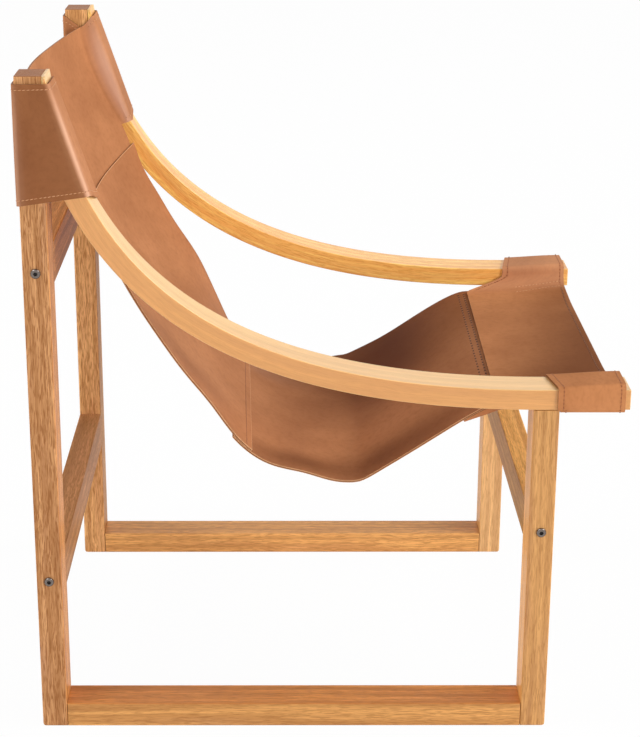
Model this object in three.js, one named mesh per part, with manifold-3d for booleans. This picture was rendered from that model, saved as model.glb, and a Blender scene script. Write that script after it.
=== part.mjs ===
// A sling lounge chair: two doweled hardwood side frames, three bolted cross rails and a leather sling.
// Millimetres. +X is the front of the chair, +Y the sitter's left and +Z up, with the floor at Z = 0.
import * as THREE from 'three';
import { mergeVertices } from 'three/addons/utils/BufferGeometryUtils.js';
import Module from 'manifold-3d';

const wasm = await Module();
wasm.setup();

// Side frames and cross rails
const BASE_LENGTH = 655; // back of the rear legs to front of the front legs
const FRAME_WIDTH = 600; // outer face to outer face of the side frames
const BACK_HEIGHT = 852; // floor to the top of the rear legs
const STOCK_WIDTH = 52; // legs, arms and bottom rails, across the chair
const LEG_DEPTH = 32; // legs and cross rails, front to back
const BOTTOM_RAIL_HEIGHT = 32;
const CROSS_RAIL_HEIGHT = 52;
const UPPER_BACK_RAIL_DROP = 83; // lower edge of the leather sleeves to the middle of the rail
const LOWER_BACK_RAIL_LEVEL = 207; // floor to the middle of the rail, as the next
const FRONT_RAIL_LEVEL = 275;
const EDGE_ROUND = 1.5; // eased edges of the wood
const FOOT_ROUND = 4; // lower corners of the side frames

// Arms, swept down from the top of the rear legs
const ARM_HEIGHT = 465; // floor to the top of the arm over the front leg
const ARM_THICKNESS = 26;
const ARM_OVERHANG = 87; // past the front of the front leg
const ARM_TIP = 4.5; // wood left in front of the rear leg at its top
const ARM_LEAN = 9; // degrees from upright, at the top
const ARM_TOP_HANDLE = 310; // pull of the sweep along the lean
const ARM_FRONT_HANDLE = 310; // pull of the sweep along the level front
const ARM_END_ROUND = 4;

// Bolts, barrel nuts and dowels
const BOLT_DIAMETER = 6;
const BOLT_HEAD_DIAMETER = 12.4;
const BOLT_HEAD_HEIGHT = 3.4;
const BOLT_HEAD_RIM = 0.8;
const BOLT_PAST_NUT = 4; // thread that stands out of the nut
const BOLT_HEAD_FLAT = 7; // flat top of the domed head
const HEX_SOCKET = 4; // across the flats
const HEX_SOCKET_DEPTH = 2;
const NUT_DIAMETER = 10;
const NUT_LENGTH = 18;
const NUT_INSET = 36; // end of the cross rail to the nut's middle
const DOWEL_DIAMETER = 8;
const DOWEL_CHAMFER = 0.8;
const DOWEL_SPACING = 26; // middle to middle of a pair
const DOWEL_DEPTH = 20; // in legs and rails
const ARM_DOWEL_DEPTH = 13; // in the thinner arms
const ARM_JOINT_DROP = 74; // top of the rear leg to the arm's dowels
const RAIL_DOWEL_RISE = 15; // above the bolt

// Leather sling
const LEATHER = 3; // thickness
const SLEEVE_TOP_DROP = 9; // bare wood above the sleeves
const SLEEVE_FRONT_DROP = 144; // top of the rear leg to the sleeve's lower edge, in front
const SLEEVE_REAR_DROP = 155; // and behind
const PANEL_TOP_DROP = 23; // top of the rear leg to the back panel's upper edge
const BACK_PANEL_LENGTH = 184; // upper edge to the seam with the lower back panel
const LOWER_BACK_LENGTH = 339; // that seam to the seam with the seat panel
const LAP = 30; // overlap of two panels at a seam
const BACK_SAG = 36; // backward belly of the back, at the middle of its width
const SEAT_LOW_LEVEL = 331; // floor to the lowest point of the sling
const SEAT_LOW_AHEAD = 77; // that point, ahead of the base's middle
const HANG_HANDLE = 372; // pull of the sling below the sleeves
const LOW_REAR_HANDLE = 140; // pull behind the lowest point
const LOW_FRONT_HANDLE = 28; // pull ahead of it
const FRONT_SEAM_HANDLE = 40; // pull behind the front seam
const FRONT_PANEL_LENGTH = 149; // front edge back to the seam with the seat panel
const FRONT_PANEL_FALL = 9; // from the front edge to that seam
const FRONT_STRIP = 54; // strip that stiffens the seat panel behind the front seam
const STRIP_SEAM = 8; // where the strip is sewn up to the front panel
const LOOP_INSET = 7; // bare wood at the arm's end
const FLAP_SWEEP = 24; // hollow of the flap's curved edge, along the arm
const FLAP_RISE = 7; // and above the arm's underside

// Clearances and steps
const FIT = 0.3; // between pieces that touch
const HOLE_EXTRA_DEPTH = 1.5; // beyond a dowel's or a bolt's end
const OVERCUT = 2; // a cutting tool's reach past the face
const ARM_STEPS = 32;
const SLEEVE_LEVELS = 7;
const PANEL_STEP = 14; // along the sling
const PANEL_COLUMNS = 8; // across it
const CORNER_STEPS = 3;
const ROUND_SEGMENTS = 12;

// Places worked out from the sizes above
const innerHalf = FRAME_WIDTH / 2 - STOCK_WIDTH;
const frameY = FRAME_WIDTH / 2 - STOCK_WIDTH / 2;
const rearFace = -BASE_LENGTH / 2;
const legX = BASE_LENGTH / 2 - LEG_DEPTH / 2;
const armSeat = rearFace + LEG_DEPTH;
const armUnderside = ARM_HEIGHT - ARM_THICKNESS;
const armEnd = BASE_LENGTH / 2 + ARM_OVERHANG;
const loopRear = BASE_LENGTH / 2 + FIT;
const skinReach = FIT + LEATHER;
const holeRadius = DOWEL_DIAMETER / 2 + FIT;
const boltHoleRadius = BOLT_DIAMETER / 2 + FIT;

const wood = new THREE.MeshStandardMaterial({ color: 0xd99f66, roughness: 0.55, metalness: 0 });
const beech = new THREE.MeshStandardMaterial({ color: 0xdcc09a, roughness: 0.8, metalness: 0 });
const leather = new THREE.MeshStandardMaterial({ color: 0xb0703f, roughness: 0.5, metalness: 0 });
const brightSteel = new THREE.MeshStandardMaterial({ color: 0xa9a6a3, roughness: 0.25, metalness: 1 });
const zinc = new THREE.MeshStandardMaterial({ color: 0xb9bcc0, roughness: 0.35, metalness: 1 });

// Solids: joins and cuts of closed meshes

function solidOf(geometry) {
  const bare = geometry.clone();
  bare.deleteAttribute('normal');
  bare.deleteAttribute('uv');
  const merged = mergeVertices(bare);
  return new wasm.Manifold(new wasm.Mesh({
    numProp: 3,
    vertProperties: Float32Array.from(merged.attributes.position.array),
    triVerts: Uint32Array.from(merged.index.array),
  }));
}

function geometryOf(solid) {
  const mesh = solid.getMesh();
  const geometry = new THREE.BufferGeometry();
  geometry.setAttribute('position', new THREE.BufferAttribute(mesh.vertProperties, 3));
  geometry.setIndex(new THREE.BufferAttribute(mesh.triVerts, 1));
  geometry.computeVertexNormals();
  return geometry;
}

function cut(geometry, tools) {
  return geometryOf(tools.reduce((rest, tool) => rest.subtract(solidOf(tool)), solidOf(geometry)));
}

function join(geometries) {
  return geometryOf(geometries.map(solidOf).reduce((whole, piece) => whole.add(piece)));
}

// A round hole from a point of a face, inwards along a direction.
function hole(from, inwards, depth, radius) {
  const tool = new THREE.CylinderGeometry(radius, radius, depth + OVERCUT, ROUND_SEGMENTS);
  tool.translate(0, (depth - OVERCUT) / 2, 0);
  const turn = new THREE.Quaternion().setFromUnitVectors(new THREE.Vector3(0, 1, 0), inwards);
  return tool.applyQuaternion(turn).translate(from.x, from.y, from.z);
}

function block(low, high) {
  const size = new THREE.Vector3().subVectors(high, low);
  const middle = new THREE.Vector3().addVectors(low, high).multiplyScalar(0.5);
  return new THREE.BoxGeometry(size.x, size.y, size.z).translate(middle.x, middle.y, middle.z);
}

const FORWARD = new THREE.Vector3(1, 0, 0);
const BACKWARD = new THREE.Vector3(-1, 0, 0);
const LEFT = new THREE.Vector3(0, 1, 0);
const UP = new THREE.Vector3(0, 0, 1);
const DOWN = new THREE.Vector3(0, 0, -1);

function named(name, geometry, material) {
  const mesh = new THREE.Mesh(geometry, material);
  mesh.name = name;
  return mesh;
}

// A closed outline through corners [x, y, radius], where a radius rounds its corner.
function outline(corners) {
  const shape = new THREE.Shape();
  corners.forEach(([x, y, radius = 0], i) => {
    const corner = new THREE.Vector2(x, y);
    const towards = ([px, py]) => new THREE.Vector2(px, py).sub(corner).setLength(radius).add(corner);
    const start = towards(corners.at(i - 1));
    const end = towards(corners[(i + 1) % corners.length]);
    if (i === 0) shape.moveTo(start.x, start.y);
    else shape.lineTo(start.x, start.y);
    if (radius > 0) shape.quadraticCurveTo(x, y, end.x, end.y);
  });
  shape.closePath();
  return shape;
}

// An X-Z outline made width thick about Y = 0, with eased edges.
function plank(shape, width) {
  const geometry = new THREE.ExtrudeGeometry(shape, {
    depth: width - 2 * EDGE_ROUND,
    curveSegments: CORNER_STEPS,
    bevelThickness: EDGE_ROUND,
    bevelSize: EDGE_ROUND,
    bevelOffset: -EDGE_ROUND,
    bevelSegments: 2,
  });
  return geometry.translate(0, 0, EDGE_ROUND - width / 2).rotateX(Math.PI / 2);
}

// Side frames

const dowelRows = [-DOWEL_SPACING / 2, DOWEL_SPACING / 2];
const crossRails = [
  { name: 'upper_back', x: -legX, level: BACK_HEIGHT - SLEEVE_REAR_DROP - UPPER_BACK_RAIL_DROP },
  { name: 'lower_back', x: -legX, level: LOWER_BACK_RAIL_LEVEL },
  { name: 'front', x: legX, level: FRONT_RAIL_LEVEL },
];

// Bolt and dowel holes through the inner face of a leg, for the cross rails that meet it.
function railHoles(rails, side) {
  const inner = -side * STOCK_WIDTH / 2;
  const outwards = LEFT.clone().multiplyScalar(side);
  return rails.flatMap(({ level }) => [
    hole(new THREE.Vector3(0, inner, level), outwards, STOCK_WIDTH + OVERCUT, boltHoleRadius),
    hole(new THREE.Vector3(0, inner, level + RAIL_DOWEL_RISE), outwards,
      DOWEL_DEPTH + HOLE_EXTRA_DEPTH, holeRadius),
  ]);
}

// Holes for a pair of dowels, from a point of the joint into one of its two pieces.
function pairHoles(from, inwards, depth) {
  return dowelRows.map((y) => hole(from.clone().setY(y), inwards, depth + HOLE_EXTRA_DEPTH, holeRadius));
}

function rearLeg(side) {
  const half = LEG_DEPTH / 2;
  const body = plank(outline([
    [-half, 0, FOOT_ROUND], [half, 0], [half, BACK_HEIGHT], [-half, BACK_HEIGHT],
  ]), STOCK_WIDTH);
  const front = (level) => new THREE.Vector3(half, 0, level);
  return cut(body, [
    ...railHoles(crossRails.filter((rail) => rail.x < 0), side),
    ...pairHoles(front(BOTTOM_RAIL_HEIGHT / 2), BACKWARD, DOWEL_DEPTH),
    ...pairHoles(front(BACK_HEIGHT - ARM_JOINT_DROP), BACKWARD, DOWEL_DEPTH),
  ]);
}

function frontLeg(side) {
  const half = LEG_DEPTH / 2;
  const top = armUnderside - FIT;
  const body = plank(outline([
    [-half, 0], [half, 0, FOOT_ROUND], [half, top], [-half, top],
  ]), STOCK_WIDTH);
  return cut(body, [
    ...railHoles(crossRails.filter((rail) => rail.x > 0), side),
    ...pairHoles(new THREE.Vector3(-half, 0, BOTTOM_RAIL_HEIGHT / 2), FORWARD, DOWEL_DEPTH),
    ...pairHoles(new THREE.Vector3(0, 0, top), DOWN, DOWEL_DEPTH),
  ]);
}

function bottomRail() {
  const half = BASE_LENGTH / 2 - LEG_DEPTH - FIT;
  const body = plank(outline([
    [-half, 0], [half, 0], [half, BOTTOM_RAIL_HEIGHT], [-half, BOTTOM_RAIL_HEIGHT],
  ]), STOCK_WIDTH);
  const level = BOTTOM_RAIL_HEIGHT / 2;
  return cut(body, [
    ...pairHoles(new THREE.Vector3(-half, 0, level), FORWARD, DOWEL_DEPTH),
    ...pairHoles(new THREE.Vector3(half, 0, level), BACKWARD, DOWEL_DEPTH),
  ]);
}

// The arm's upper edge leans at the top of the rear leg, sweeps forward and ends level over the front leg.
const armTop = new THREE.Vector2(armSeat + ARM_TIP, BACK_HEIGHT);
const armFront = new THREE.Vector2(legX, ARM_HEIGHT);
const lean = THREE.MathUtils.degToRad(ARM_LEAN);
const armCurve = new THREE.CubicBezierCurve(
  armTop,
  new THREE.Vector2(Math.sin(lean), -Math.cos(lean)).multiplyScalar(ARM_TOP_HANDLE).add(armTop),
  new THREE.Vector2(armFront.x - ARM_FRONT_HANDLE, armFront.y),
  armFront,
);

// A point of that edge, moved by depth square to it into the wood. Above the top it runs on straight.
function armPoint(t, depth) {
  const onSweep = Math.max(t, 0);
  const tangent = armCurve.getTangent(onSweep);
  const point = armCurve.getPoint(onSweep).addScaledVector(tangent, (t - onSweep) * ARM_TOP_HANDLE);
  return new THREE.Vector2(point.x + depth * tangent.y, point.y - depth * tangent.x);
}

// Where along the sweep the edge, so moved, is at a height.
function armParameterAt(height, depth) {
  let low = -0.5;
  let high = 1;
  for (let i = 0; i < 40; i += 1) {
    const middle = (low + high) / 2;
    if (armPoint(middle, depth).y > height) low = middle;
    else high = middle;
  }
  return low;
}

function arm() {
  const start = armParameterAt(BACK_HEIGHT + OVERCUT, ARM_THICKNESS);
  const edge = (depth) => Array.from({ length: ARM_STEPS + 1 }, (_, i) => {
    return armPoint(start + (1 - start) * i / ARM_STEPS, depth).toArray();
  });
  const strip = plank(outline([
    ...edge(0),
    [armEnd, ARM_HEIGHT, ARM_END_ROUND], [armEnd, armUnderside, ARM_END_ROUND],
    ...edge(ARM_THICKNESS).reverse(),
  ]), STOCK_WIDTH);
  const reach = STOCK_WIDTH;
  const seat = armSeat + FIT;
  const joint = BACK_HEIGHT - ARM_JOINT_DROP;
  return cut(strip, [
    block(new THREE.Vector3(rearFace - reach, -reach, 0), new THREE.Vector3(seat, reach, 2 * BACK_HEIGHT)),
    block(new THREE.Vector3(rearFace, -reach, BACK_HEIGHT), new THREE.Vector3(0, reach, 2 * BACK_HEIGHT)),
    ...pairHoles(new THREE.Vector3(seat, 0, joint), FORWARD, ARM_DOWEL_DEPTH),
    ...pairHoles(new THREE.Vector3(legX, 0, armUnderside), UP, ARM_DOWEL_DEPTH),
  ]);
}

// A dowel that lies along a direction, with its joint face at the origin.
function dowel(along, before, after) {
  const radius = DOWEL_DIAMETER / 2;
  const profile = [
    [0, -before], [radius - DOWEL_CHAMFER, -before], [radius, DOWEL_CHAMFER - before],
    [radius, after - DOWEL_CHAMFER], [radius - DOWEL_CHAMFER, after], [0, after],
  ].map(([r, y]) => new THREE.Vector2(r, y));
  const turn = new THREE.Quaternion().setFromUnitVectors(new THREE.Vector3(0, 1, 0), along);
  return new THREE.LatheGeometry(profile, ROUND_SEGMENTS).applyQuaternion(turn);
}

function sideFrame(side, word) {
  const frame = new THREE.Group();
  frame.position.y = side * frameY;
  const place = (name, geometry, material, x, y, z) => {
    const mesh = named(name, geometry, material);
    mesh.position.set(x, y, z);
    frame.add(mesh);
  };
  place(`rear_leg_${word}`, rearLeg(side), wood, -legX, 0, 0);
  place(`front_leg_${word}`, frontLeg(side), wood, legX, 0, 0);
  place(`bottom_rail_${word}`, bottomRail(), wood, 0, 0, 0);
  place(`arm_${word}`, arm(), wood, 0, 0, 0);
  const railLevel = BOTTOM_RAIL_HEIGHT / 2;
  const joints = [
    ['rear_foot', dowel(FORWARD, DOWEL_DEPTH, DOWEL_DEPTH), armSeat, railLevel],
    ['front_foot', dowel(BACKWARD, DOWEL_DEPTH, DOWEL_DEPTH), legX - LEG_DEPTH / 2, railLevel],
    ['arm_front', dowel(UP, DOWEL_DEPTH, ARM_DOWEL_DEPTH), legX, armUnderside],
    ['arm_top', dowel(FORWARD, DOWEL_DEPTH, ARM_DOWEL_DEPTH), armSeat, BACK_HEIGHT - ARM_JOINT_DROP],
  ];
  for (const [joint, peg, x, z] of joints) {
    dowelRows.forEach((y, i) => place(`${joint}_joint_dowel_${word}_${i + 1}`, peg, beech, x, y, z));
  }
  return frame;
}

// Cross rails with their bolts, barrel nuts and locating dowels

function crossRail() {
  const length = 2 * (innerHalf - FIT);
  const halfDepth = LEG_DEPTH / 2;
  const halfHeight = CROSS_RAIL_HEIGHT / 2;
  const section = outline([
    [-halfDepth, -halfHeight, EDGE_ROUND], [halfDepth, -halfHeight, EDGE_ROUND],
    [halfDepth, halfHeight, EDGE_ROUND], [-halfDepth, halfHeight, EDGE_ROUND],
  ]);
  const body = new THREE.ExtrudeGeometry(section, {
    depth: length, bevelEnabled: false, curveSegments: CORNER_STEPS,
  }).translate(0, 0, -length / 2).rotateX(Math.PI / 2);
  const boltDepth = NUT_INSET + NUT_DIAMETER / 2 + BOLT_PAST_NUT + HOLE_EXTRA_DEPTH;
  const tools = [-1, 1].flatMap((side) => {
    const end = side * length / 2;
    const inwards = LEFT.clone().multiplyScalar(-side);
    const nutMouth = new THREE.Vector3(0, side * (innerHalf - NUT_INSET), -halfHeight);
    return [
      hole(new THREE.Vector3(0, end, 0), inwards, boltDepth, boltHoleRadius),
      hole(new THREE.Vector3(0, end, RAIL_DOWEL_RISE), inwards, DOWEL_DEPTH + HOLE_EXTRA_DEPTH, holeRadius),
      hole(nutMouth, UP, halfHeight + NUT_LENGTH / 2 + FIT, NUT_DIAMETER / 2 + FIT),
    ];
  });
  return cut(body, tools);
}

// A button head bolt along Y: the head's seat is at the origin and the shank points to -Y.
function bolt() {
  const shank = BOLT_DIAMETER / 2;
  const head = BOLT_HEAD_DIAMETER / 2;
  const length = STOCK_WIDTH + NUT_INSET + NUT_DIAMETER / 2 + BOLT_PAST_NUT;
  const dome = new THREE.QuadraticBezierCurve(
    new THREE.Vector2(head, BOLT_HEAD_RIM),
    new THREE.Vector2((head + BOLT_HEAD_FLAT / 2) / 2, BOLT_HEAD_HEIGHT),
    new THREE.Vector2(BOLT_HEAD_FLAT / 2, BOLT_HEAD_HEIGHT),
  );
  const profile = [
    new THREE.Vector2(0, -length),
    new THREE.Vector2(shank - DOWEL_CHAMFER, -length),
    new THREE.Vector2(shank, DOWEL_CHAMFER - length),
    new THREE.Vector2(shank, 0),
    new THREE.Vector2(head, 0),
    ...dome.getPoints(CORNER_STEPS),
    new THREE.Vector2(0, BOLT_HEAD_HEIGHT),
  ];
  const body = new THREE.LatheGeometry(profile, ROUND_SEGMENTS);
  const corner = HEX_SOCKET / Math.sqrt(3);
  const socket = new THREE.CylinderGeometry(corner, corner, 2 * HEX_SOCKET_DEPTH, 6);
  return cut(body, [socket.translate(0, BOLT_HEAD_HEIGHT, 0)]);
}

function barrelNut() {
  const radius = NUT_DIAMETER / 2;
  const body = new THREE.CylinderGeometry(radius, radius, NUT_LENGTH, ROUND_SEGMENTS).rotateX(Math.PI / 2);
  const face = new THREE.Vector3(0, -radius, 0);
  return cut(body, [hole(face, LEFT, NUT_DIAMETER + OVERCUT, boltHoleRadius)]);
}

function railSet({ name, x, level }) {
  const set = new THREE.Group();
  set.position.set(x, 0, level);
  set.add(named(`${name}_rail`, crossRail(), wood));
  for (const [side, word] of [[1, 'left'], [-1, 'right']]) {
    const screw = named(`bolt_${name}_${word}`, bolt(), brightSteel);
    screw.position.y = side * (FRAME_WIDTH / 2 + FIT);
    screw.rotation.z = side > 0 ? 0 : Math.PI;
    const nut = named(`barrel_nut_${name}_${word}`, barrelNut(), zinc);
    nut.position.y = side * (innerHalf - NUT_INSET);
    const peg = named(`rail_dowel_${name}_${word}`, dowel(LEFT, DOWEL_DEPTH, DOWEL_DEPTH), beech);
    peg.position.set(0, side * innerHalf, RAIL_DOWEL_RISE);
    set.add(screw, nut, peg);
  }
  return set;
}

// Leather sling

// Side view of the sling's upper face: down the middle of the arms inside the sleeves,
// hanging free to the lowest point, up to the front seam and on to the front edge.
const sleeveEnd = armParameterAt(BACK_HEIGHT - SLEEVE_FRONT_DROP, 0);
const panelTop = armParameterAt(BACK_HEIGHT - PANEL_TOP_DROP, ARM_THICKNESS / 2);
const backLine = new THREE.SplineCurve(Array.from({ length: SLEEVE_LEVELS }, (_, i) => {
  return armPoint(panelTop + (sleeveEnd - panelTop) * i / (SLEEVE_LEVELS - 1), ARM_THICKNESS / 2);
}));
const hangStart = armPoint(sleeveEnd, ARM_THICKNESS / 2);
const hangPull = armCurve.getTangent(sleeveEnd).multiplyScalar(HANG_HANDLE).add(hangStart);
const lowest = new THREE.Vector2(SEAT_LOW_AHEAD, SEAT_LOW_LEVEL);
const frontEdge = new THREE.Vector2(armEnd - LOOP_INSET, armUnderside - FIT);
const frontSeam = new THREE.Vector2(frontEdge.x - FRONT_PANEL_LENGTH, frontEdge.y - FRONT_PANEL_FALL);
const seamPull = frontSeam.clone().sub(frontEdge).setLength(FRONT_SEAM_HANDLE).add(frontSeam);

const slingLine = new THREE.CurvePath();
slingLine.add(backLine);
slingLine.add(new THREE.CubicBezierCurve(
  hangStart, hangPull, new THREE.Vector2(lowest.x - LOW_REAR_HANDLE, lowest.y), lowest,
));
slingLine.add(new THREE.CubicBezierCurve(
  lowest, new THREE.Vector2(lowest.x + LOW_FRONT_HANDLE, lowest.y), seamPull, frontSeam,
));
slingLine.add(new THREE.LineCurve(frontSeam, frontEdge));

const slingLength = slingLine.getLength();
const slingHalf = innerHalf - FIT - LEATHER / 2;
const upperSeamAt = BACK_PANEL_LENGTH;
const lowerSeamAt = upperSeamAt + LOWER_BACK_LENGTH;
const frontSeamAt = slingLength - frontSeam.distanceTo(frontEdge);

// The back bellies between the sleeves, and the seat hangs straight across.
function sagAt(length) {
  return BACK_SAG * (1 - THREE.MathUtils.smoothstep(length, upperSeamAt, lowerSeamAt));
}

// A point of the sling: a length down it, a depth below its upper face, and from -1 to 1 across it.
function slingPoint(length, depth, across) {
  const u = THREE.MathUtils.clamp(length / slingLength, 0, 1);
  const point = slingLine.getPointAt(u);
  const tangent = slingLine.getTangentAt(u);
  const below = depth + sagAt(length) * (1 - across * across);
  return new THREE.Vector3(
    point.x + below * tangent.y, across * slingHalf, point.y - below * tangent.x,
  );
}

// A closed skin between two grids of points, face 0 outside and face 1 inside, joined at their rims.
// A ring closes on itself along its columns.
function skin(rows, columns, isRing, pointAt) {
  const width = isRing ? columns : columns + 1;
  const positions = [];
  for (const face of [0, 1]) {
    for (let i = 0; i <= rows; i += 1) {
      for (let j = 0; j < width; j += 1) positions.push(...pointAt(i, j, face).toArray());
    }
  }
  const index = [];
  const at = (face, i, j) => (face * (rows + 1) + i) * width + (j % width);
  const quad = (a, b, c, d) => index.push(a, b, c, a, c, d);
  for (let i = 0; i < rows; i += 1) {
    for (let j = 0; j < columns; j += 1) {
      quad(at(0, i, j), at(0, i + 1, j), at(0, i + 1, j + 1), at(0, i, j + 1));
      quad(at(1, i, j), at(1, i, j + 1), at(1, i + 1, j + 1), at(1, i + 1, j));
    }
  }
  for (let j = 0; j < columns; j += 1) {
    quad(at(0, 0, j), at(0, 0, j + 1), at(1, 0, j + 1), at(1, 0, j));
    quad(at(0, rows, j + 1), at(0, rows, j), at(1, rows, j), at(1, rows, j + 1));
  }
  for (let i = 0; i < rows && !isRing; i += 1) {
    quad(at(0, i + 1, 0), at(0, i, 0), at(1, i, 0), at(1, i + 1, 0));
    quad(at(0, i, columns), at(0, i + 1, columns), at(1, i + 1, columns), at(1, i, columns));
  }
  const geometry = new THREE.BufferGeometry();
  geometry.setAttribute('position', new THREE.Float32BufferAttribute(positions, 3));
  geometry.setIndex(index);
  geometry.computeVertexNormals();
  return geometry;
}

// A panel between two lengths down the sling, with its upper face set down by depth.
function panel(from, to, depth, thickness = LEATHER) {
  const rows = Math.ceil((to - from) / PANEL_STEP);
  return skin(rows, PANEL_COLUMNS, false, (i, j, face) => {
    return slingPoint(from + (to - from) * i / rows, depth + face * thickness, 2 * j / PANEL_COLUMNS - 1);
  });
}

// A rounded rectangle's points, anticlockwise.
function roundedLoop(x0, x1, y0, y1, radius) {
  const corners = [[x1, y1, 0], [x0, y1, 1], [x0, y0, 2], [x1, y0, 3]];
  return corners.flatMap(([x, y, quarter]) => Array.from({ length: CORNER_STEPS + 1 }, (_, i) => {
    const angle = (quarter + i / CORNER_STEPS) * Math.PI / 2;
    const centreX = x === x1 ? x - radius : x + radius;
    const centreY = y === y1 ? y - radius : y + radius;
    return new THREE.Vector2(centreX + radius * Math.cos(angle), centreY + radius * Math.sin(angle));
  }));
}

// The sleeve round a rear leg and the top of its arm, wider at its lower edge.
function sleeve(side) {
  const top = armParameterAt(BACK_HEIGHT - SLEEVE_TOP_DROP, 0);
  const loopAt = (i, reach) => {
    const share = i / SLEEVE_LEVELS;
    const front = armPoint(top + (sleeveEnd - top) * share, -reach);
    const rear = rearFace - reach;
    const rearLevel = BACK_HEIGHT - THREE.MathUtils.lerp(SLEEVE_TOP_DROP, SLEEVE_REAR_DROP, share);
    const halfWidth = STOCK_WIDTH / 2 + reach;
    return roundedLoop(rear, front.x, -halfWidth, halfWidth, EDGE_ROUND + reach - FIT).map(({ x, y }) => {
      const level = THREE.MathUtils.mapLinear(x, rear, front.x, rearLevel, front.y);
      return new THREE.Vector3(x, y + side * frameY, level);
    });
  };
  const columns = loopAt(0, FIT).length;
  return skin(SLEEVE_LEVELS, columns, true, (i, j, face) => loopAt(i, face === 0 ? skinReach : FIT)[j]);
}

// The loop round the front of an arm, a rounded tube along X.
function armLoop(side) {
  const halfWidth = STOCK_WIDTH / 2;
  const ring = new THREE.Shape(roundedLoop(
    -halfWidth - skinReach, halfWidth + skinReach, armUnderside - skinReach, ARM_HEIGHT + skinReach,
    EDGE_ROUND + LEATHER,
  ));
  ring.holes.push(new THREE.Path(roundedLoop(
    -halfWidth - FIT, halfWidth + FIT, armUnderside - FIT, ARM_HEIGHT + FIT, EDGE_ROUND,
  )));
  const alongX = new THREE.Matrix4().makeBasis(LEFT, UP, FORWARD);
  return new THREE.ExtrudeGeometry(ring, { depth: frontEdge.x - loopRear, bevelEnabled: false })
    .applyMatrix4(alongX)
    .translate(loopRear, side * frameY, 0);
}

// The flap of the front panel up the arm's inner face, with its hollow rear edge.
function loopFlap(side) {
  const middle = LEATHER / 2;
  const top = ARM_HEIGHT + FIT;
  const shape = new THREE.Shape();
  shape.moveTo(frontSeam.x, frontSeam.y - middle);
  shape.lineTo(frontEdge.x, frontEdge.y - middle);
  shape.lineTo(frontEdge.x, top);
  shape.lineTo(loopRear, top);
  shape.quadraticCurveTo(loopRear - FLAP_SWEEP, armUnderside + FLAP_RISE, frontSeam.x, frontSeam.y - middle);
  const geometry = new THREE.ExtrudeGeometry(shape, {
    depth: LEATHER, bevelEnabled: false, curveSegments: SLEEVE_LEVELS,
  });
  geometry.translate(0, 0, -middle).rotateX(Math.PI / 2);
  return geometry.translate(0, side * slingHalf, 0);
}

function sling() {
  const set = new THREE.Group();
  const under = LEATHER + FIT;
  const back = join([panel(0, upperSeamAt + LAP, under), sleeve(1), sleeve(-1)]);
  const lapEnd = frontSeamAt + LAP;
  const strip = panel(frontSeamAt - FRONT_STRIP, lapEnd + STRIP_SEAM, 2 * under + FIT);
  const stripSeam = panel(lapEnd + FIT, lapEnd + STRIP_SEAM, LEATHER / 2, 2 * under);
  const front = join([
    panel(frontSeamAt, slingLength, 0), armLoop(1), armLoop(-1), loopFlap(1), loopFlap(-1), strip, stripSeam,
  ]);
  set.add(
    named('back_panel', back, leather),
    named('lower_back_panel', panel(upperSeamAt, lowerSeamAt, 0), leather),
    named('seat_panel', panel(lowerSeamAt - LAP, lapEnd, under), leather),
    named('front_panel', front, leather),
  );
  return set;
}

// The chair, with its origin on the floor at the middle of its overall length and width
const chair = new THREE.Group();
chair.position.x = -(rearFace - skinReach + armEnd) / 2;
chair.add(sideFrame(1, 'left'), sideFrame(-1, 'right'), ...crossRails.map(railSet), sling());

export default chair;
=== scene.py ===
# %% [markdown]
# # A leather sling lounge chair
# Two wooden side frames stand on the floor and three cross rails hold them apart. One long run of thick
# saddle leather hangs between them: sleeves slip over the tops of the back, loops close round the fronts
# of the arms, and the sitter's weight pulls the rest into a seat.
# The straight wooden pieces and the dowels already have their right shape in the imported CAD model, so this
# lesson gives them a finish. It models the swept arms, the bolt heads and all the leather, whose shape
# comes from how they are made.

# %% Load the frame
import bisect
import math

import bmesh
import bpy
from mathutils import Matrix, Vector
from mathutils.geometry import interpolate_bezier


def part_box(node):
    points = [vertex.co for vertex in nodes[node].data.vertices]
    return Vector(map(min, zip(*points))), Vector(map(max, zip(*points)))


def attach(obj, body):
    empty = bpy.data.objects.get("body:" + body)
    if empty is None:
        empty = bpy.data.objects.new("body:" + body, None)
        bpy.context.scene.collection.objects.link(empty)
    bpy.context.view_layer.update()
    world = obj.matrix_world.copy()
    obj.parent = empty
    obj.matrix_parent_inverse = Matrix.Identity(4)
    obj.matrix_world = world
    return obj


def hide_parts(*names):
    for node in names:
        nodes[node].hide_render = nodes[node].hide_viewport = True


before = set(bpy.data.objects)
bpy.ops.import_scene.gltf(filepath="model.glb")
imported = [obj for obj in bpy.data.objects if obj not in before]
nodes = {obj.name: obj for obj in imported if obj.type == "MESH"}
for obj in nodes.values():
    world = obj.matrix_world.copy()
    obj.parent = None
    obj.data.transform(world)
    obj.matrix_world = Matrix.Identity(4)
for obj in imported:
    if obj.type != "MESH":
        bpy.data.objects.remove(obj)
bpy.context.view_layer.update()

# %% [markdown]
# ## Camera
# The photograph was taken from the chair's right side with a long lens, a little above the top of the back.
# The picture was cropped unevenly, so the lens is shifted sideways to put the optical axis where it was.

# %% Camera
PICTURE_WIDTH = 640
PICTURE_HEIGHT = 737
FOCAL_LENGTH_IN_PIXELS = 1888.8
OPTICAL_AXIS_COLUMN = 286.3
CAMERA_PLACE = (-0.0545, -2.4881, 1.2379)
CAMERA_DROP = math.radians(18.79)
CAMERA_TURN = math.radians(-0.072)
SENSOR = 36.0

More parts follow.
